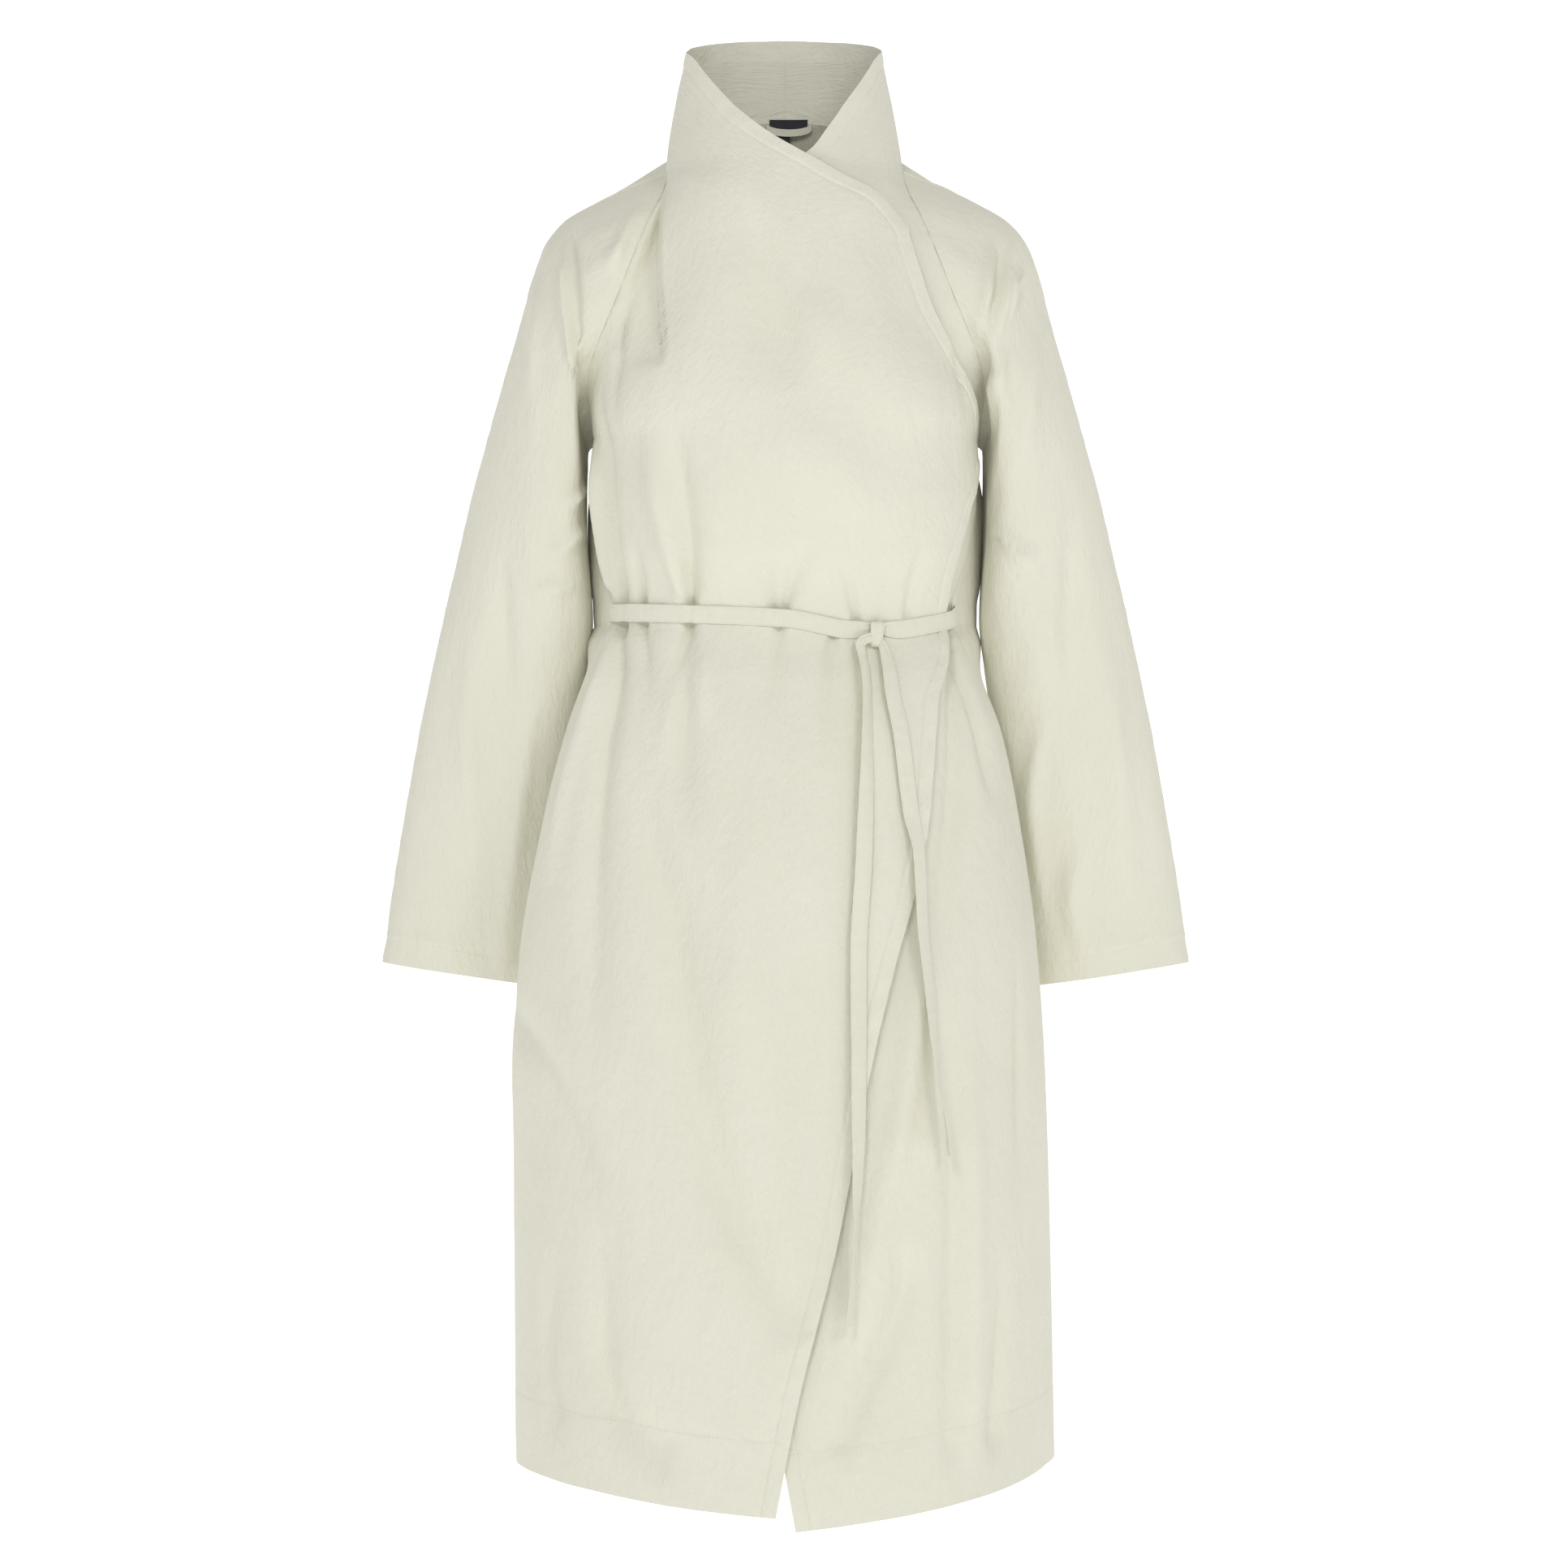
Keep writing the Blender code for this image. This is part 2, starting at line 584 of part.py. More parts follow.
def front_outline(side):
    """Rows of a front, as on the right side: inner end and outer end, each as (round_front, height)."""
    half_back = BACK_COLUMNS // 2
    skirt, band, blouse, chest = wrap_edge(side)
    levels = body_levels()
    inner = [np.stack([np.zeros(len(levels)), levels], axis=1)]
    outer = [spaced(skirt, ROWS_SKIRT), spaced(band, ROWS_BAND)[1:], spaced(blouse, ROWS_BLOUSE)[1:]]
    armhole = front_armhole_points(RIGHT)
    inner.append(np.stack([np.zeros(ROWS_FRONT_ARMHOLE), armhole[1:, 2]], axis=1))
    outer.append(spaced(chest, ROWS_FRONT_ARMHOLE)[1:])
    shares = np.r_[
        np.linspace(0, BACK_NECK_SHARE, ROWS_NECK_SIDE + 1)[1:],
        np.linspace(BACK_NECK_SHARE, 1, half_back + 1)[1:],
    ]
    inner.append(np.stack([-shares, neck_height(shares)], axis=1))
    rim_share = CORNER_SHARE + (1 - CORNER_SHARE) * shares
    rim = COLLAR_CORNER_Z + (COLLAR_BACK_Z - COLLAR_CORNER_Z) * np.sin(rim_share * math.pi / 2)
    outer.append(np.stack([-rim_share, rim], axis=1))
    return np.concatenate(inner), np.concatenate(outer)


def spaced(line, count):
    """Count + 1 points along a (round_front, height) line, at even real distances."""
    points = place(line[:, 0], line[:, 1])
    lengths = np.r_[0, np.cumsum(np.linalg.norm(np.diff(points, axis=0), axis=1))]
    stops = np.linspace(0, lengths[-1], count + 1)
    return np.stack([np.interp(stops, lengths, line[:, k]) for k in (0, 1)], axis=1)


def front_grid(side, columns):
    """Points of one front: a row for each pair of ends, from its side seam to its free edge."""
    inner, outer = front_outline(side)
    across = np.linspace(0, 1, columns + 1)[None, :]
    rounds = inner[:, :1] + (outer[:, :1] - inner[:, :1]) * across
    heights = inner[:, 1:] + (outer[:, 1:] - inner[:, 1:]) * across
    hem_column = 1 if side == RIGHT else 2
    hem = smooth(across[0], column(FRONT_HEM, 0), column(FRONT_HEM, hem_column))
    fade = np.clip(np.arange(len(inner)) / ROWS_SKIRT, 0, 1)[:, None]
    straight = heights[:1]
    heights = heights + (hem[None, :] - straight) * (1 - fade)
    lift = LAYER_LIFT * eased(rounds / LAYER_RAMP)
    if side == LEFT:
        rounds = 2 - rounds
        lift = -lift
    return front_form(rounds, heights, lift)


# ---- the back ----
def back_place(across, height):
    """A point of the back: across is 0 at the right seam, 1 at the centre and 2 at the left seam."""
    across, height = np.broadcast_arrays(across, height)
    x = np.zeros(height.shape)
    y = np.zeros(height.shape)
    for side in (RIGHT, LEFT):
        share = across if side == RIGHT else 2 - across
        back_x, back_y = quarter(share, height, side, 1, side_point(height, side, 1))
        here = share <= 1
        x = np.where(here, back_x, x)
        y = np.where(here, back_y, y)
    return np.stack([x, y, height], axis=-1)


def back_neck_points():
    """The back neck seam from the right raglan seam to the left one, on the collar's base."""
    shares = np.linspace(BACK_NECK_SHARE, 1, BACK_COLUMNS // 2 + 1)
    right = place(-shares, neck_height(shares))
    left = right[-2::-1] * (-1, 1, 1)
    return np.concatenate([right, left])


def back_armhole_points(side):
    """The back raglan seam from the underarm to the neck."""
    top = back_neck_points()[0] * (-1, 1, 1)
    curve = dense_curve(BACK_ARMHOLE + (tuple(top),))
    return along(curve, ROWS_BACK_ARMHOLE) * (side, 1, 1)


def back_grid():
    """Points of the back, a row for each height, from the right seam to the left."""
    across = np.linspace(0, 2, BACK_COLUMNS + 1)[None, :]
    heights = body_levels()
    below = len(heights)
    armhole = back_armhole_points(RIGHT)
    heights = np.r_[heights, armhole[1:, 2]][:, None]
    heights = heights + np.zeros(across.shape)
    middle = np.sin(across * math.pi / 2) ** 2
    fade = np.clip(1 - np.arange(len(heights)) / ROWS_SKIRT, 0, 1)[:, None]
    heights = heights - BACK_HEM_DROP * middle * fade
    points = back_place(across, heights)
    normal = outward(back_place, np.clip(across, 0.01, 1.99), heights)
    rise = fold_rise(points[..., 0], heights, BACK_FOLDS) * eased(points[..., 1] / 0.04)
    points = points + normal * rise[..., None]
    # The top rows turn from the form to the neck seam, and each row's ends meet the raglan seams.
    neck = back_neck_points()
    share = np.clip((np.arange(len(heights)) - below + 1) / ROWS_BACK_ARMHOLE, 0, 1)[:, None, None]
    points = points + (neck - points[-1])[None] * share**2
    for side, end in ((RIGHT, 0), (LEFT, -1)):
        seam = back_armhole_points(side)
        shift = seam[1:] - points[below:, end]
        near = (1 - np.abs(across[0] - (0 if side == RIGHT else 2))).clip(0, 1)
        points[below:] = points[below:] + shift[:, None, :] * near[None, :, None] ** 2
    points[-1] = neck
    return points


# ---- the sleeves ----
def armhole_loop(side):
    """The raglan loop as two rows of points: by the front and by the back, underarm to neck point."""
    front = front_armhole_points(side)
    shares = np.linspace(0, BACK_NECK_SHARE, ROWS_NECK_SIDE + 1)
    neck = place(-shares, neck_height(shares)) * (-side, 1, 1)
    back = np.concatenate([back_armhole_points(side), neck[-2::-1]])
    return front, back


def turns_of(seam, first, last):
    """A turn round the ring for each point of a seam, in step with its length."""
    lengths = np.r_[0, np.cumsum(np.linalg.norm(np.diff(seam, axis=0), axis=1))]
    return first + (last - first) * lengths / lengths[-1]


def ring_place(along_sleeve, turn, side):
    """A point of the plain sleeve: a ring between the overarm and the underarm lines."""
    along_sleeve, turn = np.broadcast_arrays(along_sleeve, turn)
    knots = np.linspace(0, 1, len(SLEEVE_RINGS))
    values = [smooth(along_sleeve, knots, column(SLEEVE_RINGS, k)) for k in range(7)]
    over_x, over_z, under_x, under_z, middle_y, half_depth, nearer = values
    if side == RIGHT:
        under_x = under_x - nearer
    angle = turn * 2 * math.pi
    share = (1 - np.cos(angle)) / 2
    x = under_x + (over_x - under_x) * share
    z = under_z + (over_z - under_z) * share
    y = middle_y - half_depth * np.sin(angle)
    return np.stack([side * x, y, z], axis=-1)


def sleeve_fold_rise(along_sleeve, turn, folds):
    total = np.zeros(np.broadcast(along_sleeve, turn).shape)
    for turn_start, turn_end, start, end, rise, width in folds:
        share = (along_sleeve - start) / (end - start)
        line = turn_start + (turn_end - turn_start) * np.clip(share, 0, 1)
        strength = np.sin(np.clip(share, 0, 1) * math.pi) ** 2
        total = total + rise * strength * np.exp(-(((turn - line) / width) ** 2))
    return total


def sleeve_grid(side, face):
    """Points of half a sleeve: a row for each ring, from the raglan seam to the cuff."""
    front, back = armhole_loop(side)
    seam, last, folds = (front, 0.5, SLEEVE_FRONT_FOLDS)
    turn = turns_of(front, 0.0, 0.5)
    if face > 0:
        seam = back
        folds = SLEEVE_BACK_FOLDS
        turn = turns_of(back, 1.0, 0.5)
    turn = turn[None, :]
    steps = np.linspace(0, 1, SLEEVE_ROWS + 1)[:, None]
    points = ring_place(steps, turn, side)
    own = seam - ring_place(np.zeros((1, 1)), turn, side)[0]
    points = points + own[None] * (1 - eased(steps / RAGLAN_BLEND))[..., None]
    normal = outward(lambda a, b: ring_place(np.clip(b, 0, 1), a, side), turn + 0 * steps, steps + 0 * turn)
    if side == RIGHT:
        normal = -normal
    return points + normal * sleeve_fold_rise(steps, turn, folds)[..., None]


# ---- meshes ----
def wall_directions(points):
    """The unit direction across the cloth at each point of a grid."""
    normal = np.cross(np.gradient(points, axis=1), np.gradient(points, axis=0))
    return normal / np.maximum(np.linalg.norm(normal, axis=-1, keepdims=True), 1e-9)


def edge_slots(shape):
    """Row and column numbers of the points round the edge of a grid."""
    rows, columns = np.indices(shape[:2])
    on_edge = (rows == 0) | (rows == shape[0] - 1) | (columns == 0) | (columns == shape[1] - 1)
    return list(zip(rows[on_edge], columns[on_edge]))


def share_seam_directions(panels):
    """Gives panels that meet at a seam the same direction there, so their walls end face to face."""
    sums = {}
    for panel in panels:
        for slot in edge_slots(panel["points"].shape):
            key = tuple(np.round(panel["points"][slot], 5))
            sums[key] = sums.get(key, 0) + panel["across"][slot]
    for panel in panels:
        for slot in edge_slots(panel["points"].shape):
            total = sums[tuple(np.round(panel["points"][slot], 5))]
            panel["across"][slot] = total / max(np.linalg.norm(total), 1e-9)


def inset(points, across, seams):
    """Draws the seams of a grid in along its surface, to leave their gap. Seams names its sides."""
    drawn = points.copy()
    sides = {
        "first_row": (np.s_[0, :], np.s_[1, :]),
        "last_row": (np.s_[-1, :], np.s_[-2, :]),
        "first_column": (np.s_[:, 0], np.s_[:, 1]),
        "last_column": (np.s_[:, -1], np.s_[:, -2]),
    }
    for seam in seams:
        edge, inner = sides[seam]
        inward = points[inner] - points[edge]
        square = np.cross(across[edge], np.gradient(points[edge], axis=0))
        square = square * np.sign(np.sum(square * inward, axis=-1, keepdims=True))
        length = np.maximum(np.linalg.norm(square, axis=-1, keepdims=True), 1e-9)
        drawn[edge] = drawn[edge] + square / length * SEAM_GAP / 2
    return drawn


def cloth(name, points, across=None, thickness=WALL):
    """A panel: two grids of quads, half a wall out and half a wall in, joined round the edge."""
    if across is None:
        across = -wall_directions(points)
    if np.sum(across * wall_directions(points)) > 0:
        points = points[:, ::-1]
        across = across[:, ::-1]
    rows, columns = points.shape[:2]
    outer = np.arange(rows * columns).reshape(rows, columns)
    inner = outer + rows * columns
    sheets = (
        np.stack([outer[:-1, :-1], outer[1:, :-1], outer[1:, 1:], outer[:-1, 1:]], axis=-1),
        np.stack([inner[:-1, :-1], inner[:-1, 1:], inner[1:, 1:], inner[1:, :-1]], axis=-1),
    )
    faces = np.concatenate([sheet.reshape(-1, 4) for sheet in sheets]).tolist()
    rim = np.concatenate([outer[0], outer[1:, -1], outer[-1, -2::-1], outer[-2::-1, 0]])
    heights = points[..., 2].ravel()
    for here, there in zip(rim[:-1].tolist(), rim[1:].tolist()):
        here_in = here + rows * columns
        there_in = there + rows * columns
        # Each face of the rim is split from its lower outer corner, as on the panel beside it.
        if heights[here] < heights[there]:
            faces.extend([(here, there, there_in), (here, there_in, here_in)])
        else:
            faces.extend([(here, there, here_in), (there, there_in, here_in)])
    corners = np.stack([points + across * thickness / 2, points - across * thickness / 2])
    mesh = bpy.data.meshes.new(name)
    mesh.from_pydata(corners.reshape(-1, 3).tolist(), [], faces)
    mesh.shade_smooth()
    return bpy.data.objects.new(name, mesh)


# ---- tie ----
def tie_band(name, first_round, last_round, count):
    """A flat band on the pressed waist of the fronts, between two places round them."""
    rounds = np.linspace(first_round, last_round, count + 1)[None, :]
    heights = TIE_Z + TIE_WIDTH * np.array([[-0.5], [0.0], [0.5]])
    from_side = np.minimum(rounds, 2 - rounds)
    lift = LAYER_LIFT * eased(from_side / LAYER_RAMP) + WALL / 2 + TIE_OFF_CLOTH
    points = place(rounds, heights) + outward(place, rounds, heights) * lift[..., None]
    return cloth(name, points, thickness=TIE_THICKNESS)


def knot_round():
    shares = np.linspace(1.0, 1.9, 300)
    return float(np.interp(KNOT_X, place(shares, TIE_Z)[:, 0], shares))


def tie_knot(name):
    """The knot: a soft lump just off the face of the tie."""
    here = knot_round()
    point = place(here, TIE_Z)
    normal = outward(place, np.array(here), np.array(TIE_Z))
    off = LAYER_LIFT + WALL / 2 + TIE_OFF_CLOTH + TIE_THICKNESS / 2 + KNOT_GAP
    off += KNOT_SIZE[1] * KNOT_ROUNDED
    mesh = bpy.data.meshes.new(name)
    cage = bmesh.new()
    bmesh.ops.create_cube(cage, size=1.0)
    bmesh.ops.scale(cage, vec=KNOT_SIZE, verts=cage.verts)
    cage.to_mesh(mesh)
    cage.free()
    mesh.shade_smooth()
    knot = bpy.data.objects.new(name, mesh)
    knot.location = (point + normal * off).tolist()
    facing = math.atan2(normal[0], -normal[1])
    knot.rotation_euler = (0.0, math.radians(KNOT_TILT), facing)
    rounding = knot.modifiers.new("rounding", "SUBSURF")
    rounding.levels = 2
    rounding.render_levels = 2
    return knot


def tie_end(name, rows):
    """A hanging end: a band that follows the skirt at a small distance and turns as it falls."""
    line = along(dense_curve([(x, z, turn / 1000, off) for x, z, turn, off in rows]), END_ROWS)
    x, z, turn, off = line.T
    z = undipped(x, z)
    turn = np.radians(turn * 1000)
    rounds = round_at(x, z)
    points = front_form(rounds, z, LAYER_LIFT + WALL / 2)
    normal = outward(place, rounds, z)
    level = np.cross(normal, (0.0, 0.0, 1.0))
    level = level / np.linalg.norm(level, axis=1, keepdims=True)
    middle = points + normal * off[:, None]
    width = -level * np.cos(turn)[:, None] + normal * np.sin(turn)[:, None]
    edges = [middle + width * TIE_WIDTH * share for share in (-0.5, 0.0, 0.5)]
    return cloth(name, np.stack(edges, axis=1), thickness=TIE_THICKNESS)


# ---- inside the back neck ----
def neck_inside(x, z, ahead):
    """A point inside the back neck seam, ahead of the collar's inner face."""
    share = np.arccos(np.clip(x / side_point(NECK_BACK_Z, LEFT, -1)[0], -1, 1)) * 2 / math.pi
    point = place(2 + share, np.full(np.shape(share), NECK_BACK_Z))
    point[..., 1] -= WALL / 2 + LABEL_GAP + LABEL_THICKNESS / 2 + ahead
    point[..., 2] = z
    return point


def label(name, sizes):
    """A blank woven label, a small sheet that follows the curve of the neck."""
    middle_x, top_z, width, height, ahead = sizes
    x = middle_x + width * np.linspace(-0.5, 0.5, 7)[None, :]
    z = top_z - height * np.linspace(0, 1, 3)[:, None]
    x, z = np.broadcast_arrays(x, z)
    return cloth(name, neck_inside(x, z, ahead), thickness=LABEL_THICKNESS)


def hanger_loop(name):
    """A tape that hangs from the neck seam in a shallow bow."""
    share = np.linspace(0, 1, 15)[None, :]
    x = LOOP_X[0] + (LOOP_X[1] - LOOP_X[0]) * (1 - np.cos(share * math.pi)) / 2
    z = LOOP_Z[0] + (LOOP_Z[1] - LOOP_Z[0]) * np.sin(share * math.pi) ** 0.8
    across = np.linspace(0, LOOP_WIDTH, 3)[:, None]
    x, z = np.broadcast_arrays(x, z - across)
    ahead = LOOP_AHEAD * np.sin(share * math.pi) + np.zeros(x.shape)
    return cloth(name, neck_inside(x, z, ahead), thickness=LABEL_THICKNESS)


def finish(piece, color, roughness):
    material = bpy.data.materials.new(piece.name)
    material.use_nodes = True
    shader = material.node_tree.nodes["Principled BSDF"]
    shader.inputs["Base Color"].default_value = color
    shader.inputs["Roughness"].default_value = roughness
    shader.inputs["Metallic"].default_value = 0.0
    piece.data.materials.append(material)


def panel_grids():
    """Fronts, back and sleeves, with the sides of each grid that are seams."""
    fronts = (("front_right", RIGHT, FRONT_COLUMNS), ("front_left", LEFT, UNDER_COLUMNS))
    for name, side, columns in fronts:
        yield name, front_grid(side, columns), ("last_row", "first_column"), side == LEFT
    yield "back", back_grid(), ("last_row", "first_column", "last_column"), True
    for side, word in ((RIGHT, "right"), (LEFT, "left")):
        for face, half in ((-1, "front"), (1, "back")):
            seams = ("first_row", "first_column", "last_column")
            yield f"sleeve_{half}_{word}", sleeve_grid(side, face), seams, side * face < 0


def panels():
    """The walls of all the panels. Across points out of the coat."""
    made = []
    for name, points, seams, turned in panel_grids():
        across = wall_directions(points) * (-1 if turned else 1)
        made.append({"name": name, "points": points, "seams": seams, "across": across})
    share_seam_directions(made)
    return [
        cloth(
            panel["name"],
            inset(panel["points"], panel["across"], panel["seams"]),
            panel["across"],
        )
        for panel in made
    ]


def build():
    for old in list(bpy.data.objects):
        bpy.data.objects.remove(old, do_unlink=True)
    coat = bpy.data.collections.new("wrap_coat")
    bpy.context.scene.collection.children.link(coat)
    pieces = panels()
    here = knot_round()
    short_share = round(TIE_COLUMNS * (2 - here) / here)
    pieces.append(tie_band("tie_right", TIE_END_MARGIN, here - SEAM_GAP, TIE_COLUMNS))
    pieces.append(tie_band("tie_left", here + SEAM_GAP, 2 - TIE_END_MARGIN, short_share))
    pieces.append(tie_knot("tie_knot"))
    pieces.append(tie_end("tie_end_long", LONG_END))
    pieces.append(tie_end("tie_end_short", SHORT_END))
    pieces.append(hanger_loop("hanger_loop"))
    for piece in pieces:
        finish(piece, CLOTH_COLOR, 0.85)
    for name, sizes in (("neck_label", NECK_LABEL), ("size_tab", SIZE_TAB)):
        piece = label(name, sizes)
        finish(piece, LABEL_COLOR, 0.6)
        pieces.append(piece)
    for piece in pieces:
        coat.objects.link(piece)


build()
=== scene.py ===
import math

import bpy
import numpy as np
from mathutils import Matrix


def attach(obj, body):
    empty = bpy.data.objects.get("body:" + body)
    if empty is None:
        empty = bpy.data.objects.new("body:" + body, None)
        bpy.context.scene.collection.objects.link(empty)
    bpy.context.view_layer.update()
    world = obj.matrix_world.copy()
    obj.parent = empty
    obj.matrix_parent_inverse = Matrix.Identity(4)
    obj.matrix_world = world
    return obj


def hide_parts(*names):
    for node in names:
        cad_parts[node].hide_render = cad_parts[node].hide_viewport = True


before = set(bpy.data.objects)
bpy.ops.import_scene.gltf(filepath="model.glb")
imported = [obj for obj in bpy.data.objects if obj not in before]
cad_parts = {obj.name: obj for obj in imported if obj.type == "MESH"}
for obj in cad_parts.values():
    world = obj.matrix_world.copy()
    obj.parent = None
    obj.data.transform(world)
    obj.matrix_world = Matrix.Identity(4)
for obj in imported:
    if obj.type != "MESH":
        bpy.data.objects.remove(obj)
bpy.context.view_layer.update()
print("frame loaded with", len(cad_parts), "nodes")

right, left = -1, 1  # the wearer's sides along X; the wearer faces -Y

# How the photograph was taken, in metres. Its picture plane goes through the coat's middle.
camera = {"distance": 3.4, "x": -0.00136, "z": -0.515, "frameWidth": 1.3138}

# The coat's own form, the same as its solids have, in metres.
coat = {
    "neckBackZ": 0.050,
    "underarmZ": -0.228,
    "tieZ": -0.3735,
    "tieHalf": 0.009,
    "sideHemZ": -1.078,
    "collarCornerZ": 0.101,
    "collarBackZ": 0.121,
    "layerLift": 0.0033,  # the outer front stands off the common form by this, the under one sinks
    "liftRamp": 0.16,
    "backNeckShare": 0.55,
    "cornerShare": 0.02,
    "furthestRound": 1.87,
    "backHemDrop": 0.008,
    "cloth": 0.0007,  # thickness of the cloth
}

# Raglan seams: distance from the middle, depth, height.
frontArmhole = (
    (0.1585, 0.018, -0.228),
    (0.1660, -0.016, -0.192),
    (0.1630, -0.036, -0.171),
    (0.1550, -0.053, -0.150),
    (0.1410, -0.066, -0.120),
    (0.1265, -0.068, -0.084),
    (0.1115, -0.058, -0.047),
    (0.1010, -0.036, -0.022),
    (0.0980, 0.000, -0.002),
)
backArmhole = (
    (0.1585, 0.018, -0.228),
    (0.1600, 0.050, -0.197),
    (0.1510, 0.078, -0.145),
    (0.1290, 0.092, -0.085),
    (0.1050, 0.089, -0.035),
    (0.0850, 0.076, 0.005),
)
# Side seam: z, right x, left x, y.
sideSeam = (
    (-0.228, 0.1585, 0.1585, 0.018),
    (-0.270, 0.1600, 0.1600, 0.008),
    (-0.320, 0.1530, 0.1530, -0.006),
    (-0.350, 0.1460, 0.1430, -0.015),
    (-0.3645, 0.1432, 0.1388, -0.018),
    (-0.3825, 0.1438, 0.1392, -0.018),
    (-0.394, 0.1535, 0.1450, -0.020),
    (-0.425, 0.1660, 0.1600, -0.022),
    (-0.470, 0.1820, 0.1790, -0.018),
    (-0.552, 0.2030, 0.1960, -0.010),
    (-0.650, 0.2200, 0.2100, 0.000),
    (-0.770, 0.2280, 0.2180, 0.006),
    (-0.950, 0.2270, 0.2230, 0.010),
    (-1.130, 0.2225, 0.2260, 0.010),
)
# Neck seam behind the neck points: share of the back quarter, z.
neckSeam = ((0.0, -0.002), (0.2, 0.005), (0.4, 0.022), (0.55, 0.036), (0.75, 0.046), (1.0, 0.050))
# Collar's side: z, x, y.
collarSide = ((0.020, 0.0950, 0.003), (0.050, 0.0900, 0.005), (0.100, 0.0805, 0.006), (0.130, 0.0770, 0.006))
# Centre front: z, how far forward, and the way a section leaves the side seam, 90 straight forward.
frontDepth = (
    (0.130, 0.056, 90),
    (0.050, 0.072, 90),
    (0.000, 0.088, 88),
    (-0.022, 0.094, 62),
    (-0.047, 0.101, 36),
    (-0.084, 0.109, 22),
    (-0.120, 0.116, 24),
    (-0.150, 0.121, 36),
    (-0.171, 0.124, 50),
    (-0.190, 0.126, 66),
    (-0.228, 0.128, 92),
    (-0.270, 0.126, 94),
    (-0.320, 0.118, 93),
    (-0.3645, 0.103, 90),
    (-0.3825, 0.103, 90),
    (-0.430, 0.113, 90),
    (-0.500, 0.126, 90),
    (-0.600, 0.136, 90),
    (-0.800, 0.147, 90),
    (-1.130, 0.157, 90),
)
# Centre back: z, depth, turn at the right, turn at the left, fullness at the waist, where the tie
# draws in the fronts alone.
backDepth = (
    (0.130, 0.072, 90, 90, 1.0),
    (0.050, 0.066, 60, 60, 1.0),
    (0.000, 0.086, 14, 14, 1.0),
    (-0.050, 0.102, 12, 12, 1.0),
    (-0.085, 0.109, 15, 15, 1.0),
    (-0.145, 0.115, 36, 36, 1.0),
    (-0.195, 0.118, 66, 66, 1.0),
    (-0.228, 0.119, 90, 90, 1.0),
    (-0.270, 0.118, 108, 109, 1.1),
    (-0.320, 0.116, 118, 118, 1.4),
    (-0.3645, 0.115, 125, 130, 1.45),
    (-0.3825, 0.115, 123, 129, 1.45),
    (-0.430, 0.119, 96, 102, 1.1),
    (-0.500, 0.125, 84, 86, 1.0),
    (-0.600, 0.132, 78, 78, 1.0),
    (-0.800, 0.142, 84, 84, 1.0),
    (-1.130, 0.151, 88, 88, 1.0),
)
# The tie dips across the front: x, drop.
tieDip = (
    (-0.143, 0.000),
    (-0.080, 0.003),
    (0.000, 0.007),
    (0.072, 0.0195),
    (0.110, 0.012),
    (0.132, 0.006),
    (0.139, 0.000),
)
# Free edge of the wrap seen from the front: x, z, from the hem to the collar.
wrapEdge = (
    (-0.008, -1.102),
    (0.011, -1.006),
    (0.040, -0.890),
    (0.067, -0.748),
    (0.086, -0.666),
    (0.112, -0.564),
    (0.122, -0.452),
    (0.130, -0.3735),
    (0.136, -0.333),
    (0.150, -0.288),
    (0.160, -0.246),
    (0.162, -0.196),
    (0.156, -0.150),
    (0.145, -0.118),
    (0.138, -0.087),
    (0.121, -0.064),
    (0.078, -0.0375),
    (0.044, -0.0186),
    (0.016, -0.0015),
    (-0.033, 0.033),
    (-0.058, 0.063),
    (-0.074, 0.088),
)
# The under front's own free edge above the chest, where it shows.
underEdgeTop = ((-0.0156, 0.001), (-0.0360, 0.0257), (-0.0520, 0.0500), (-0.0690, 0.0747), (-0.0770, 0.0890))
# Hem: share of the way to the free edge, z of the outer front, z of the under front.
frontHem = (
    (0.0, -1.078, -1.078),
    (0.25, -1.080, -1.082),
    (0.55, -1.086, -1.093),
    (0.8, -1.095, -1.105),
    (1.0, -1.102, -1.114),
)
# Sleeve rings: overarm x, z, underarm x, z, middle y, half-depth, how much nearer the right one lies.
sleeveRings = (
    (0.0980, -0.002, 0.1585, -0.228, 0.012, 0.080, 0.000),
    (0.1290, -0.014, 0.1665, -0.236, 0.012, 0.077, 0.000),
    (0.1605, -0.029, 0.1680, -0.252, 0.011, 0.072, 0.001),
    (0.1840, -0.042, 0.1685, -0.272, 0.011, 0.067, 0.001),
    (0.2000, -0.060, 0.1685, -0.294, 0.012, 0.063, 0.001),
    (0.2115, -0.088, 0.1680, -0.316, 0.014, 0.061, 0.001),
    (0.2220, -0.126, 0.1663, -0.338, 0.016, 0.059, 0.001),
    (0.2434, -0.199, 0.1640, -0.378, 0.021, 0.056, 0.001),
    (0.2630, -0.267, 0.1685, -0.418, 0.029, 0.052, 0.001),
    (0.2780, -0.327, 0.1745, -0.458, 0.039, 0.048, 0.000),
    (0.2930, -0.388, 0.1810, -0.502, 0.049, 0.043, 0.000),
    (0.3110, -0.470, 0.1870, -0.556, 0.058, 0.038, 0.000),
    (0.3264, -0.553, 0.1950, -0.614, 0.065, 0.033, 0.000),
    (0.3366, -0.615, 0.2010, -0.654, 0.069, 0.030, 0.000),
    (0.3447, -0.667, 0.2060, -0.6880, 0.072, 0.028, 0.000),
)


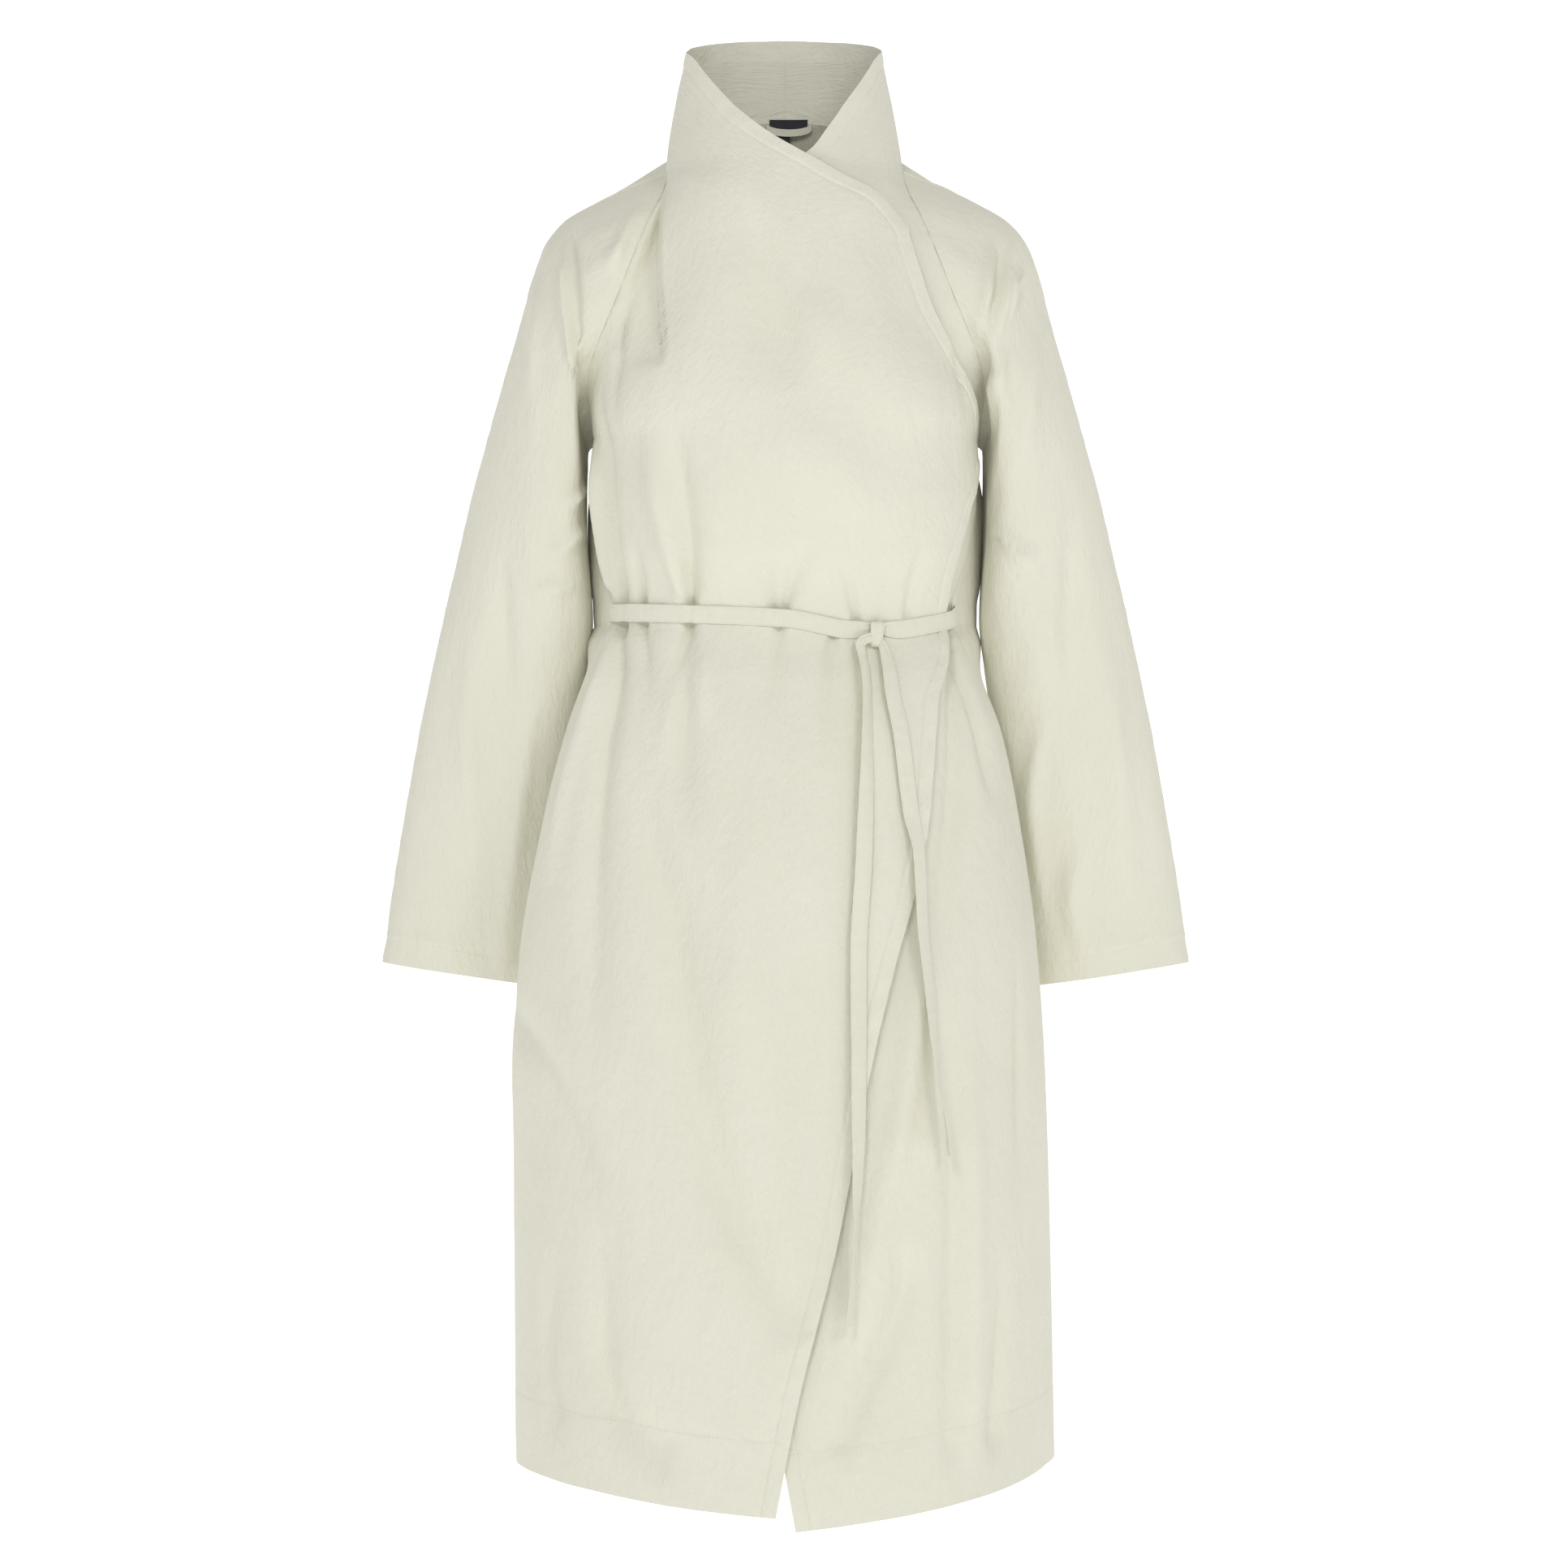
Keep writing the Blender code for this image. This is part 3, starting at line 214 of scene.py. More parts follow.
def tableCurve(positions, knots, values):
    # A smooth curve through the knots that never overshoots them: cubic pieces whose slope at a
    # knot is the harmonic mean of the slopes beside it.
    order = np.argsort(knots)
    knots, values = np.asarray(knots, float)[order], np.asarray(values, float)[order]
    steps = np.diff(knots)
    slopes = np.diff(values) / steps
    tangents = np.zeros(len(knots))
    same = slopes[1:] * slopes[:-1] > 0
    tangents[1:-1][same] = (2 * slopes[1:] * slopes[:-1])[same] / (slopes[1:] + slopes[:-1])[same]
    tangents[0], tangents[-1] = slopes[0], slopes[-1]
    positions = np.clip(positions, knots[0], knots[-1])
    cell = np.clip(np.searchsorted(knots, positions, side="right") - 1, 0, len(steps) - 1)
    share = (positions - knots[cell]) / steps[cell]
    bends = steps[cell] * share * (1 - share)
    start = (1 + 2 * share) * (1 - share) ** 2 * values[cell] + bends * (1 - share) * tangents[cell]
    return start + share**2 * (3 - 2 * share) * values[cell + 1] - bends * share * tangents[cell + 1]


def rowCurve(table, positions, column):
    # One column of a table as a smooth curve over its first column.
    return tableCurve(positions, [row[0] for row in table], [row[column] for row in table])


def bell(distance, width):
    # 1 at no distance, falling to e to the minus 1 at the width.
    return np.exp(-((distance / width) ** 2))


def eased(share):
    # From 0 to 1 with level ends: 3 share squared minus 2 share cubed.
    share = np.clip(share, 0, 1)
    return share * share * (3 - 2 * share)


def lengthsAlong(points, axis=0):
    # Running length of the lines of a grid, from 0 at their first point.
    steps = np.linalg.norm(np.diff(points, axis=axis), axis=-1)
    return np.insert(np.cumsum(steps, axis=axis), 0, 0, axis=axis)


def denseCurve(rows, count=200):
    # A smooth line through the rows, with stops an even length apart.
    rows = np.asarray(rows, float)
    knots = lengthsAlong(rows)
    places = np.linspace(0, knots[-1], count)
    return np.stack([tableCurve(places, knots, rows[:, k]) for k in range(rows.shape[1])], axis=1)


def stopsOn(line, stops, lengths=None):
    # Points at the given distances along a dense line.
    lengths = lengthsAlong(line) if lengths is None else lengths
    return np.stack([np.interp(stops, lengths, line[:, k]) for k in range(line.shape[1])], axis=1)


def sidePoint(height, side, face):
    # Where a section ends at the raglan seam, or below the underarm at the side seam.
    armhole = list(frontArmhole if face < 0 else backArmhole)
    if face < 0:
        armhole += [(x, y, z) for z, x, y in collarSide]
    knots = [row[2] for row in armhole]
    below = np.asarray(height) < coat["underarmZ"]
    x = tableCurve(height, knots, [row[0] for row in armhole])
    y = tableCurve(height, knots, [row[1] for row in armhole])
    seamX = rowCurve(sideSeam, height, 1 if side == right else 2)
    return np.where(below, seamX, x), np.where(below, rowCurve(sideSeam, height, 3), y)


def quarterSection(share, height, side, face):
    # One cubic curve from the side, at share 0, to the centre, at share 1. Its first handle leaves
    # at the table's turn and its second one is level, so both halves meet without a corner.
    endX, endY = sidePoint(height, side, face)
    table = frontDepth if face < 0 else backDepth
    depth = face * rowCurve(table, height, 1)
    turn = np.radians(rowCurve(table, height, 3 if face > 0 and side == left else 2))
    handle = 0.5523 * (np.abs(endX * np.cos(turn)) + np.abs((depth - endY) * np.sin(turn)))
    firstX = endX - handle * np.cos(turn)
    firstY = endY + face * handle * np.sin(turn)
    secondX = 0.5523 * (1.16 if face < 0 else rowCurve(backDepth, height, 4)) * endX
    rest = 1 - share
    x = rest**3 * endX + 3 * rest**2 * share * firstX + 3 * rest * share**2 * secondX
    y = rest**3 * endY + 3 * rest**2 * share * firstY + (3 * rest * share**2 + share**3) * depth
    return side * x, y


def evenSection(share, height, side, face):
    # A section, front or back, averaged over 80 mm of height round the underarm, away from the seams.
    x, y = quarterSection(share, height, side, face)
    beside = [quarterSection(share, height + step, side, face) for step in (-0.040, -0.020, 0.020, 0.040)]
    keep = eased(share / 0.45) * np.exp(-(((height + 0.205) / 0.085) ** 4))
    for weight, (_, otherY) in zip((1 / 9, 2 / 9, 2 / 9, 1 / 9), beside):
        y = y + weight * 1.5 * keep * (otherY - y)
    return x, y


def collarBack(share, height, side):
    # A quarter of an ellipse from the collar's side to the centre back.
    endX, endY = sidePoint(height, side, -1)
    depth = tableCurve(height, (0.0, coat["neckBackZ"], 0.130), (0.060, 0.066, 0.075))
    angle = share * math.pi / 2
    return side * endX * np.cos(angle), endY + (depth - endY) * np.sin(angle)


def dip(x, height):
    # The tie's own drop, fading out above and below it as a bell curve.
    return rowCurve(tieDip, x, 1) * bell(height - coat["tieZ"], 0.045)


def frontPlace(roundFront, height):
    # Round is -1 at the centre back, 0 at the right side, 1 in front, 2 at the left side, 3 behind.
    roundFront, height = np.broadcast_arrays(roundFront, height)
    x, y = np.zeros(height.shape), np.zeros(height.shape)
    for side in (right, left):
        share = roundFront if side == right else 2 - roundFront
        front, behind = (share >= 0) & (share <= 1), share < 0
        frontX, frontY = evenSection(share, height, side, -1)
        backX, backY = collarBack(-share, height, side)
        x = np.where(front, frontX, np.where(behind, backX, x))
        y = np.where(front, frontY, np.where(behind, backY, y))
    return np.stack([x, y, height - dip(x, height)], axis=-1)


def backPlace(across, height):
    # Across is 0 at the right seam, 1 at the centre and 2 at the left seam.
    across, height = np.broadcast_arrays(across, height)
    rightX, rightY = evenSection(np.clip(across, 0, 1), height, right, 1)
    leftX, leftY = evenSection(np.clip(2 - across, 0, 1), height, left, 1)
    x = np.where(across <= 1, rightX, leftX)
    return np.stack([x, np.where(across <= 1, rightY, leftY), height], axis=-1)


def directions(points):
    # Unit directions out of a grid of points: the cross product of its two slopes.
    normal = np.cross(np.gradient(points, axis=1), np.gradient(points, axis=0))
    return normal / np.maximum(np.linalg.norm(normal, axis=-1, keepdims=True), 1e-12)


def roundAt(x, height):
    shares = np.linspace(0.04, 1.96, 400)
    found = []
    for oneX, oneZ in zip(x, height):
        line = frontPlace(shares, np.full(400, oneZ))[:, 0]
        first, last = int(np.argmin(line)), int(np.argmax(line))
        found.append(np.interp(oneX, line[first : last + 1], shares[first : last + 1]))
    return np.clip(found, 2 - coat["furthestRound"], coat["furthestRound"])


# Creases and small relief of the cloth.
def seenFromFront(points):
    # Where the photograph's camera sees points, on the picture plane through the coat's middle.
    scale = camera["distance"] / (camera["distance"] + points[..., 1])
    x = camera["x"] + (points[..., 0] - camera["x"]) * scale
    z = camera["z"] + (points[..., 2] - camera["z"]) * scale
    return np.stack([x, z], axis=-1)


def seenFromBack(points):
    return np.stack([points[..., 0], points[..., 2]], axis=-1)


def creaseRise(points, normals, creases, guide, seen, gain=0.0, narrow=1.0):
    # Each crease is a line of (x, z, rise, width) in millimetres, from its top down. A point's rise
    # is the line's own rise beside it, times a bell curve of its distance over the line's width.
    # Skew is how many times wider the crease is on its right, and sharp narrows its middle. Gain adds
    # to the shallow creases alone, by a bell curve of their rise.
    total = np.zeros(points.shape[:-1])
    flat, facing = points.reshape(-1, 3), normals.reshape(-1, 3)
    seenGuide, placeGuide = seen(guide).reshape(-1, 2), guide.reshape(-1, 3)
    for knots, skew, sharp in creases:
        knots = np.array(knots, float) / 1000 * (1, 1, 1, narrow)
        knots[:, 2] *= 1 + gain * bell(knots[:, 2], 0.006)
        pinned = [int(np.argmin(((seenGuide - spot) ** 2).sum(axis=1))) for spot in knots[:, :2]]
        line = denseCurve(np.concatenate([placeGuide[pinned], knots[:, 2:]], axis=1), 56)
        path, rise, width = line[:, :3], line[:, 3], line[:, 4]
        reach = 3.2 * width.max() * max(skew, 1)
        near = ((flat > path.min(axis=0) - reach) & (flat < path.max(axis=0) + reach)).all(axis=1)
        if not near.any():
            continue
        here = flat[near]
        gaps = (here**2).sum(axis=1)[:, None] - 2 * here @ path.T + (path**2).sum(axis=1)[None]
        nearest = np.argmin(gaps, axis=1)
        tangent = np.gradient(path, axis=0)
        step = np.linalg.norm(tangent, axis=1, keepdims=True)
        tangent = tangent / np.maximum(step, 1e-9)
        offset = here - path[nearest]
        forward = (offset * tangent[nearest]).sum(axis=1)
        spacing = step[nearest, 0]
        inside = np.clip(forward, -spacing / 2, spacing / 2)
        across = offset - tangent[nearest] * forward[:, None]
        onRight = (np.cross(facing[near], tangent[nearest]) * across).sum(axis=1) > 0
        place = nearest + inside / np.maximum(spacing, 1e-9)
        reachHere = np.interp(place, np.arange(56), width) * np.where(onRight, skew, 1.0)
        distance = np.linalg.norm(across, axis=1) / reachHere
        beyond = (forward - inside) / np.interp(place, np.arange(56), width)
        fall = np.exp(-(distance**sharp) - beyond**2)
        total.reshape(-1)[near] += np.interp(place, np.arange(56), rise) * fall
    return total


def softNoise(u, v, cellU, cellV, seed):
    # Smooth random values between -1 and 1: a lattice of seeded numbers, eased between its corners.
    lattice = np.random.default_rng(seed).uniform(-1, 1, (257, 257))
    a, b = u / cellU + 500.3, v / cellV + 500.7
    column, row = np.floor(a).astype(int), np.floor(b).astype(int)
    shareA, shareB = eased(a - column), eased(b - row)
    corner = [lattice[(row + i) % 257, (column + j) % 257] for i in (0, 1) for j in (0, 1)]
    low = corner[0] * (1 - shareA) + corner[1] * shareA
    high = corner[2] * (1 - shareA) + corner[3] * shareA
    return low * (1 - shareB) + high * shareB


def hangingWaves(u, v, strength, seed):
    # The cloth's slight unevenness: long soft waves down the piece and smaller ones across it.
    waves = softNoise(u, v, 0.045, 0.190, seed) * 1.1 + softNoise(u, v, 0.100, 0.240, seed + 1) * 1.4
    waves += softNoise(u, v, 0.017, 0.070, seed + 2) * 0.35 + softNoise(u, v, 0.034, 0.028, seed + 3) * 0.18
    return waves * strength / 1000


def stitchLine(distance, at, puckerU, seed, depth=0.32):
    # A row of stitches draws the cloth in: a narrow groove, with small waves beside it.
    groove = -depth * bell(distance - at, 0.0011)
    ripple = 0.34 * softNoise(puckerU, distance, 0.0075, 0.02, seed) * bell(distance - at, 0.007)
    return (groove + ripple) / 1000


# Meshes from grids.
def setMesh(name, corners, faces, uv=None, sharpAngle=50):
    # One mesh from arrays: corners, faces of four, and a UV for each corner of the cloth in metres.
    mesh = bpy.data.meshes.new(name)
    mesh.from_pydata(corners.astype(float).tolist(), [], faces.tolist())
    if uv is not None:
        loops = np.empty(len(mesh.loops), np.int32)
        mesh.loops.foreach_get("vertex_index", loops)
        layer = mesh.uv_layers.new(name="cloth")
        layer.data.foreach_set("uv", uv[loops].astype(np.float32).ravel())
    mesh.shade_smooth()
    mesh.set_sharp_from_angle(angle=math.radians(sharpAngle))
    piece = bpy.data.objects.new(name, mesh)
    bpy.context.scene.collection.objects.link(piece)
    return piece


def gridFaces(at):
    # Faces of four between the neighbours of a grid of corner numbers.
    return np.stack([at[:-1, :-1], at[:-1, 1:], at[1:, 1:], at[1:, :-1]], axis=-1).reshape(-1, 4)


def shell(name, points, uv, outsideIn=False):
    # A thin wall: the grid moved out and in by half the cloth, joined round its edge.
    across = directions(points)
    if outsideIn:
        points, across, uv = points[:, ::-1], -across[:, ::-1], uv[:, ::-1]
    rows, columns = points.shape[:2]
    outer = np.arange(rows * columns).reshape(rows, columns)
    inner = outer + rows * columns
    rim = np.concatenate([outer[0], outer[1:, -1], outer[-1, -2::-1], outer[-2::-1, 0]])
    faces = np.concatenate(
        [
            gridFaces(outer),
            gridFaces(inner)[:, [0, 3, 2, 1]],
            np.stack([rim[1:], rim[:-1], rim[:-1] + rows * columns, rim[1:] + rows * columns], axis=-1),
        ]
    )
    half = coat["cloth"] / 2
    corners = np.stack([points + across * half, points - across * half]).reshape(-1, 3)
    return setMesh(name, corners, faces, np.tile(uv.reshape(-1, 2), (2, 1)))


def stitches(name, lines, pitch=0.0031, length=0.0022, thick=0.00034):
    # Threads along lines of (point, outward) rows: each one a small bar with pinched ends, sunk at
    # both ends and bowed up in its middle.
    bars, count = [], 0
    for path, outward, lift in lines:
        lengths = lengthsAlong(path)
        stops = np.arange(pitch, lengths[-1] - pitch, pitch)
        middle, facing = stopsOn(path, stops, lengths), stopsOn(outward, stops, lengths)
        along = stopsOn(path, stops + 0.0005, lengths) - stopsOn(path, stops - 0.0005, lengths)
        along /= np.maximum(np.linalg.norm(along, axis=1, keepdims=True), 1e-12)
        side = np.cross(along, facing)
        middle = middle + facing * lift
        shape = ((-0.5, 0.45, -0.9), (-0.22, 1.0, 0.1), (0.22, 1.0, 0.1), (0.5, 0.45, -0.9))
        rings = []
        for place, size, sink in shape:
            centre = middle + along * length * place + facing * thick * sink * 0.5
            for turnSide, turnUp in ((-1, 0), (0, 1), (1, 0), (0, -1)):
                rings.append(centre + (side * turnSide + facing * turnUp) * thick * 0.5 * size)
        bars.append(np.stack(rings, axis=1).reshape(-1, 3))
        count += len(stops)
    quads = []
    for k in range(12):
        first, second = k, k - k % 4 + (k + 1) % 4
        quads.append((first, second, second + 4, first + 4))
    quads += [(3, 2, 1, 0), (12, 13, 14, 15)]
    faces = (np.array(quads)[None] + 16 * np.arange(count)[:, None, None]).reshape(-1, 4)
    return setMesh(name, np.concatenate(bars), faces, sharpAngle=80)


# The two fronts.
fronts = {
    "facing": 0.0125,  # width of the turned-in free edge, up to its stitches
    "hem": 0.060,
    "columns": 150,
    "seamSteps": (0, 0.0006, 0.0014, 0.0026, 0.0042, 0.0064),
    "edgeSteps": (0, 0.0005, 0.0014, 0.0034, 0.0066, 0.0098, 0.0114, 0.0125, 0.0136, 0.0152, 0.0180),
    "hemSteps": (0, 0.0006, 0.0018, 0.006, 0.018, 0.032, 0.046, 0.0562, 0.0584, 0.060, 0.0616, 0.0638, 0.067),
    "skirtRows": 126,
    "bandRows": 10,
    "blouseRows": 44,
    "armholeRows": 62,
    "neckSideRows": 10,
    "neckBackRows": 22,
    "waves": 1.25,
    "gain": 1.5,
    "narrow": 0.84,
    "step": (  # the hollow beside the raglan seam: z, x of its edge, depth
        (-0.014, -0.0995, 0.000),
        (-0.036, -0.1020, 0.013),
        (-0.080, -0.1035, 0.018),
        (-0.135, -0.1010, 0.015),
        (-0.166, -0.0985, 0.009),
        (-0.176, -0.1010, 0.000),
    ),
    "stepWidth": 0.0055,
    "stepReach": 0.038,
}

# Creases that both layers of the front share, as the photograph shows them.
waistCreases = (
    (((-101, -17, 0, 5), (-119, -64, -4, 6), (-138, -122, -5, 5), (-139, -150, 0, 6)), 1.6, 1.5),
    (((-138, -122, -1, 6), (-137, -170, -2.5, 7), (-136, -216, 0, 9)), 1.0, 2),
    (((-152, -171, 0, 6), (-148, -267, -5, 9), (-137, -350, -9, 6), (-136, -366, -9, 5)), 1.4, 1.7),
    (((-158, -215, 0, 6), (-156, -267, 3, 8), (-146, -345, 3, 6)), 1.0, 2),
    (((-90, -205, 0, 9), (-84, -282, -4, 11), (-79, -340, -7, 7), (-78.5, -366, -9, 4)), 1.3, 1.6),
    (((-118, -215, 0, 10), (-103, -282, 4.5, 13), (-86, -350, 3, 8)), 1.0, 2),
    (((-119, -366, -5, 4), (-122, -340, -2.5, 6), (-125, -305, 0, 8)), 1.0, 1.6),
    (((-1, -370, -4, 4), (5, -343, -2.5, 7), (18, -310, 0, 10)), 1.3, 1.7),
    (((-9, -372, -3, 4), (-14, -345, -1.5, 7), (-20, -320, 0, 9)), 1.0, 1.7),
    (((59, -377, -3, 4), (53, -349, -1.8, 6), (44, -318, 0, 9)), 1.0, 1.7),
    (((100, -372, -2.5, 5), (106, -340, -1.5, 8), (114, -300, 0, 10)), 1.0, 1.8),
    (
        ((-137, -379, -10, 5), (-141, -425, -9, 8), (-152, -479, -8, 11), (-161, -588, -6, 14))
        + ((-161, -661, -4, 16), (-154, -748, 0, 18)),
        1.5,
        1.7,
    ),
    (((-147, -392, 0, 6), (-160, -440, 3.5, 9), (-186, -539, 3, 12), (-196, -600, 0, 14)), 1.0, 2),
    (((-80, -380, -8, 5), (-88, -420, -5.5, 9), (-87, -479, -4, 12), (-76, -560, 0, 14)), 1.2, 1.7),
    (((-74, -384, 0, 6), (-70, -425, 3, 9), (-66, -470, 0, 11)), 1.0, 2),
    (((-119, -380, -4, 5), (-117, -410, -3, 8), (-112, -450, 0, 11)), 1.0, 1.8),
    (
        ((-134, -490, 0, 14), (-105, -588, -4.5, 17), (-92, -643, -6.5, 18), (-84, -730, -7.5, 18))
        + ((-60, -826, -7.5, 18), (-30, -900, -6.5, 18), (-6, -950, -3.5, 20), (8, -985, 0, 20)),
        1.3,
        1.8,
    ),
    (
        ((-228, -694, 0, 12), (-206, -738, -3.2, 14), (-182, -790, -3.5, 15))
        + ((-164, -835, -2, 15), (-152, -885, 0, 15)),
        1.2,
        1.9,
    ),
    (((-153, -866, 0, 14), (-153, -993, -4, 14), (-139, -1037, -5, 14), (-106, -1074, -4, 14)), 1.3, 1.8),
    (((-194, -905, 0, 14), (-198, -985, -3, 13), (-190, -1040, -2.5, 13)), 1.0, 2),
    (((-30, -520, 0, 16), (-36, -680, 2.5, 22), (-20, -800, 0, 24)), 1.0, 2),
    (((20, -600, 0, 16), (14, -760, -2.5, 20), (0, -930, 0, 22)), 1.0, 2),
    (((-6, -384, -3, 5), (-8, -410, -2, 8), (-12, -455, 0, 12)), 1.0, 1.8),
    (((40, -390, -3, 5), (38, -430, -2, 9), (34, -500, 0, 14)), 1.0, 1.8),
    (
        ((136, -386, -8, 5), (143, -440, -7, 9), (144, -500, -6, 12), (139, -560, -5, 13))
        + ((131, -620, -3, 14), (121, -685, 0, 16)),
        1.3,
        1.7,
    ),
    (((139, -392, -8, 4), (151, -423, -8, 6), (168, -484, -6, 9), (178, -540, 0, 12)), 1.4, 1.5),
    (((-46, -12, 0, 20), (-14, -80, -3.5, 30), (-6, -130, -4, 34), (6, -185, 0, 30)), 0.55, 2),
    (((24, -95, 0, 20), (30, -135, 2.2, 24), (44, -190, 0, 26)), 1.0, 2),
    (((-20, -215, 0, 28), (40, -250, 1.8, 30), (90, -310, 0, 24)), 1.0, 2),
)
# Creases of the outer front alone, all of them outward or shallow.
outerCreases = (
    (((140, -139, 0, 4), (143, -175, -1.5, 5), (145, -216, 0, 5)), 1.0, 2),
    (((-80, -389, 0, 5), (-92, -440, 2.5, 8), (-100, -500, 0, 10)), 1.0, 2),
)
# Creases of the under front where it shows.
underCreases = (
    (
        ((128, -600, 0, 10), (112, -701, 4.5, 14), (99, -792, 5, 15), (78, -883, 4, 16), (62, -993, 0, 18)),
        1.0,
        2,
    ),
    (((104, -900, 0, 12), (99, -943, -4, 13), (72, -1010, -4.5, 13), (50, -1066, -2, 13)), 1.0, 2),
    (((138, -700, 0, 12), (141, -800, -3, 13), (143, -930, -3, 14), (140, -1066, -2, 14)), 1.0, 2),
    (((160, -740, 0, 12), (160, -850, 2.5, 12), (159, -990, 2.5, 13), (156, -1062, 1, 13)), 1.0, 2),
    (((196, -640, 0, 10), (200, -760, -3, 12), (196, -880, 0, 14)), 1.0, 2),
    (((186, -900, 0, 12), (182, -990, -3, 12), (176, -1060, -3, 12)), 1.0, 2),
)


def neckHeight(share):
    return rowCurve(neckSeam, share, 1)


def bodyStops(low, high, rows, steps=()):
    # Row places from low to high: fixed steps first, then even ones.
    last = steps[-1] if steps else 0
    return np.r_[steps[:-1], np.linspace(last, abs(high - low), rows + 1 - max(len(steps) - 1, 0))]


def wrapLines(side):
    # The free edge in stretches of (round, height): hem to tie, across it, to the underarm, up.
    rows = wrapEdge if side == right else tuple(row for row in wrapEdge if row[1] < -0.030) + underEdgeTop
    x, z = np.array([row[0] for row in rows]), np.array([row[1] for row in rows])
    knots = np.stack([roundAt(x, z) * 0.15, z], axis=1)
    corner = np.array([[-coat["cornerShare"] * 0.15, coat["collarCornerZ"]]])
    edge = denseCurve(np.concatenate([knots, corner]), 520) / (0.15, 1)
    levels = (coat["tieZ"] - coat["tieHalf"], coat["tieZ"] + coat["tieHalf"], coat["underarmZ"])
    low, top, underarm = [int(np.argmin(np.abs(edge[:, 1] - level))) for level in levels]
    return edge[: low + 1], edge[low : top + 1], edge[top : underarm + 1], edge[underarm:]


def frontOutline(side):
    # Both ends of every row of a front, as on the right side, as (round, height).
    skirt, band, blouse, chest = wrapLines(side)
    tieLow, tieTop = coat["tieZ"] - coat["tieHalf"], coat["tieZ"] + coat["tieHalf"]

    def onEdge(line, stops):
        lengths = lengthsAlong(frontPlace(line[:, 0], line[:, 1]))
        return stopsOn(line, stops / stops[-1] * lengths[-1], lengths)

    skirtStops = bodyStops(coat["sideHemZ"], tieLow, fronts["skirtRows"], fronts["hemSteps"])
    stretches = [
        (coat["sideHemZ"], skirtStops, skirt),
        (tieLow, bodyStops(tieLow, tieTop, fronts["bandRows"]), band),
        (tieTop, bodyStops(tieTop, coat["underarmZ"], fronts["blouseRows"]), blouse),
    ]
    inner, outer = [], []
    for low, stops, line in stretches:
        skip = 1 if inner else 0
        inner.append(np.stack([0 * stops, low + stops], axis=1)[skip:])
        edgeLength = lengthsAlong(frontPlace(line[:, 0], line[:, 1]))[-1]
        edgeStops = stops * 1.0
        if not skip:
            fixed = len(fronts["hemSteps"]) - 1
            start = stops[fixed]
            edgeStops[fixed:] = start + (stops[fixed:] - start) * (edgeLength - start) / (stops[-1] - start)
        outer.append(onEdge(line, edgeStops)[skip:])
    armhole = denseCurve(frontArmhole)
    heights = stopsOn(armhole, np.linspace(0, lengthsAlong(armhole)[-1], fronts["armholeRows"] + 1))[1:, 2]
    inner.append(np.stack([0 * heights, heights], axis=1))
    outer.append(onEdge(chest, np.arange(fronts["armholeRows"] + 1.0))[1:])
    shares = np.r_[
        np.linspace(0, coat["backNeckShare"], fronts["neckSideRows"] + 1)[1:],
        np.linspace(coat["backNeckShare"], 1, fronts["neckBackRows"] + 1)[1:],
    ]
    inner.append(np.stack([-shares, neckHeight(shares)], axis=1))
    rimShare = coat["cornerShare"] + (1 - coat["cornerShare"]) * shares
    corner, middle = coat["collarCornerZ"], coat["collarBackZ"]
    rim = corner + (middle - corner) * np.sin(rimShare * math.pi / 2)
    outer.append(np.stack([-rimShare, rim], axis=1))
    return np.concatenate(inner), np.concatenate(outer)


def spreadAcross(inner, outer, place, seamSteps, edgeSteps, columns):
    # Column shares of each row: fixed distances beside its seam and its free edge, even between.
    dense = np.linspace(0, 1, 81)
    rowEnds = inner[:, None] + (outer - inner)[:, None] * dense[None, :, None]
    lengths = lengthsAlong(place(rowEnds[..., 0], rowEnds[..., 1]), axis=1)
    total = lengths[:, -1:]
    seam, edge = np.array(seamSteps)[None], np.array(edgeSteps)[None]
    even = np.linspace(0, 1, columns - seam.size - edge.size + 3)[None, 1:-1]
    middle = seam[:, -1:] + (total - edge[:, -1:] - seam[:, -1:]) * even
    stops = np.concatenate([seam + 0 * total, middle, total - edge[:, ::-1]], axis=1)
    apart = 10.0 * np.arange(len(total))[:, None]
    shares = np.interp((stops + apart).ravel(), (lengths + apart).ravel(), np.tile(dense, len(total)))
    return shares.reshape(stops.shape)


def chestStep(x, height):
    # The hollow beside the raglan seam: full depth just behind the step, shallow again further on.
    table = fronts["step"]
    behind = rowCurve(table, height, 1) - x
    fall = eased(behind / fronts["stepWidth"] + 0.5) * (1 - eased(behind / fronts["stepReach"]))
    return rowCurve(table, height, 2) * fall


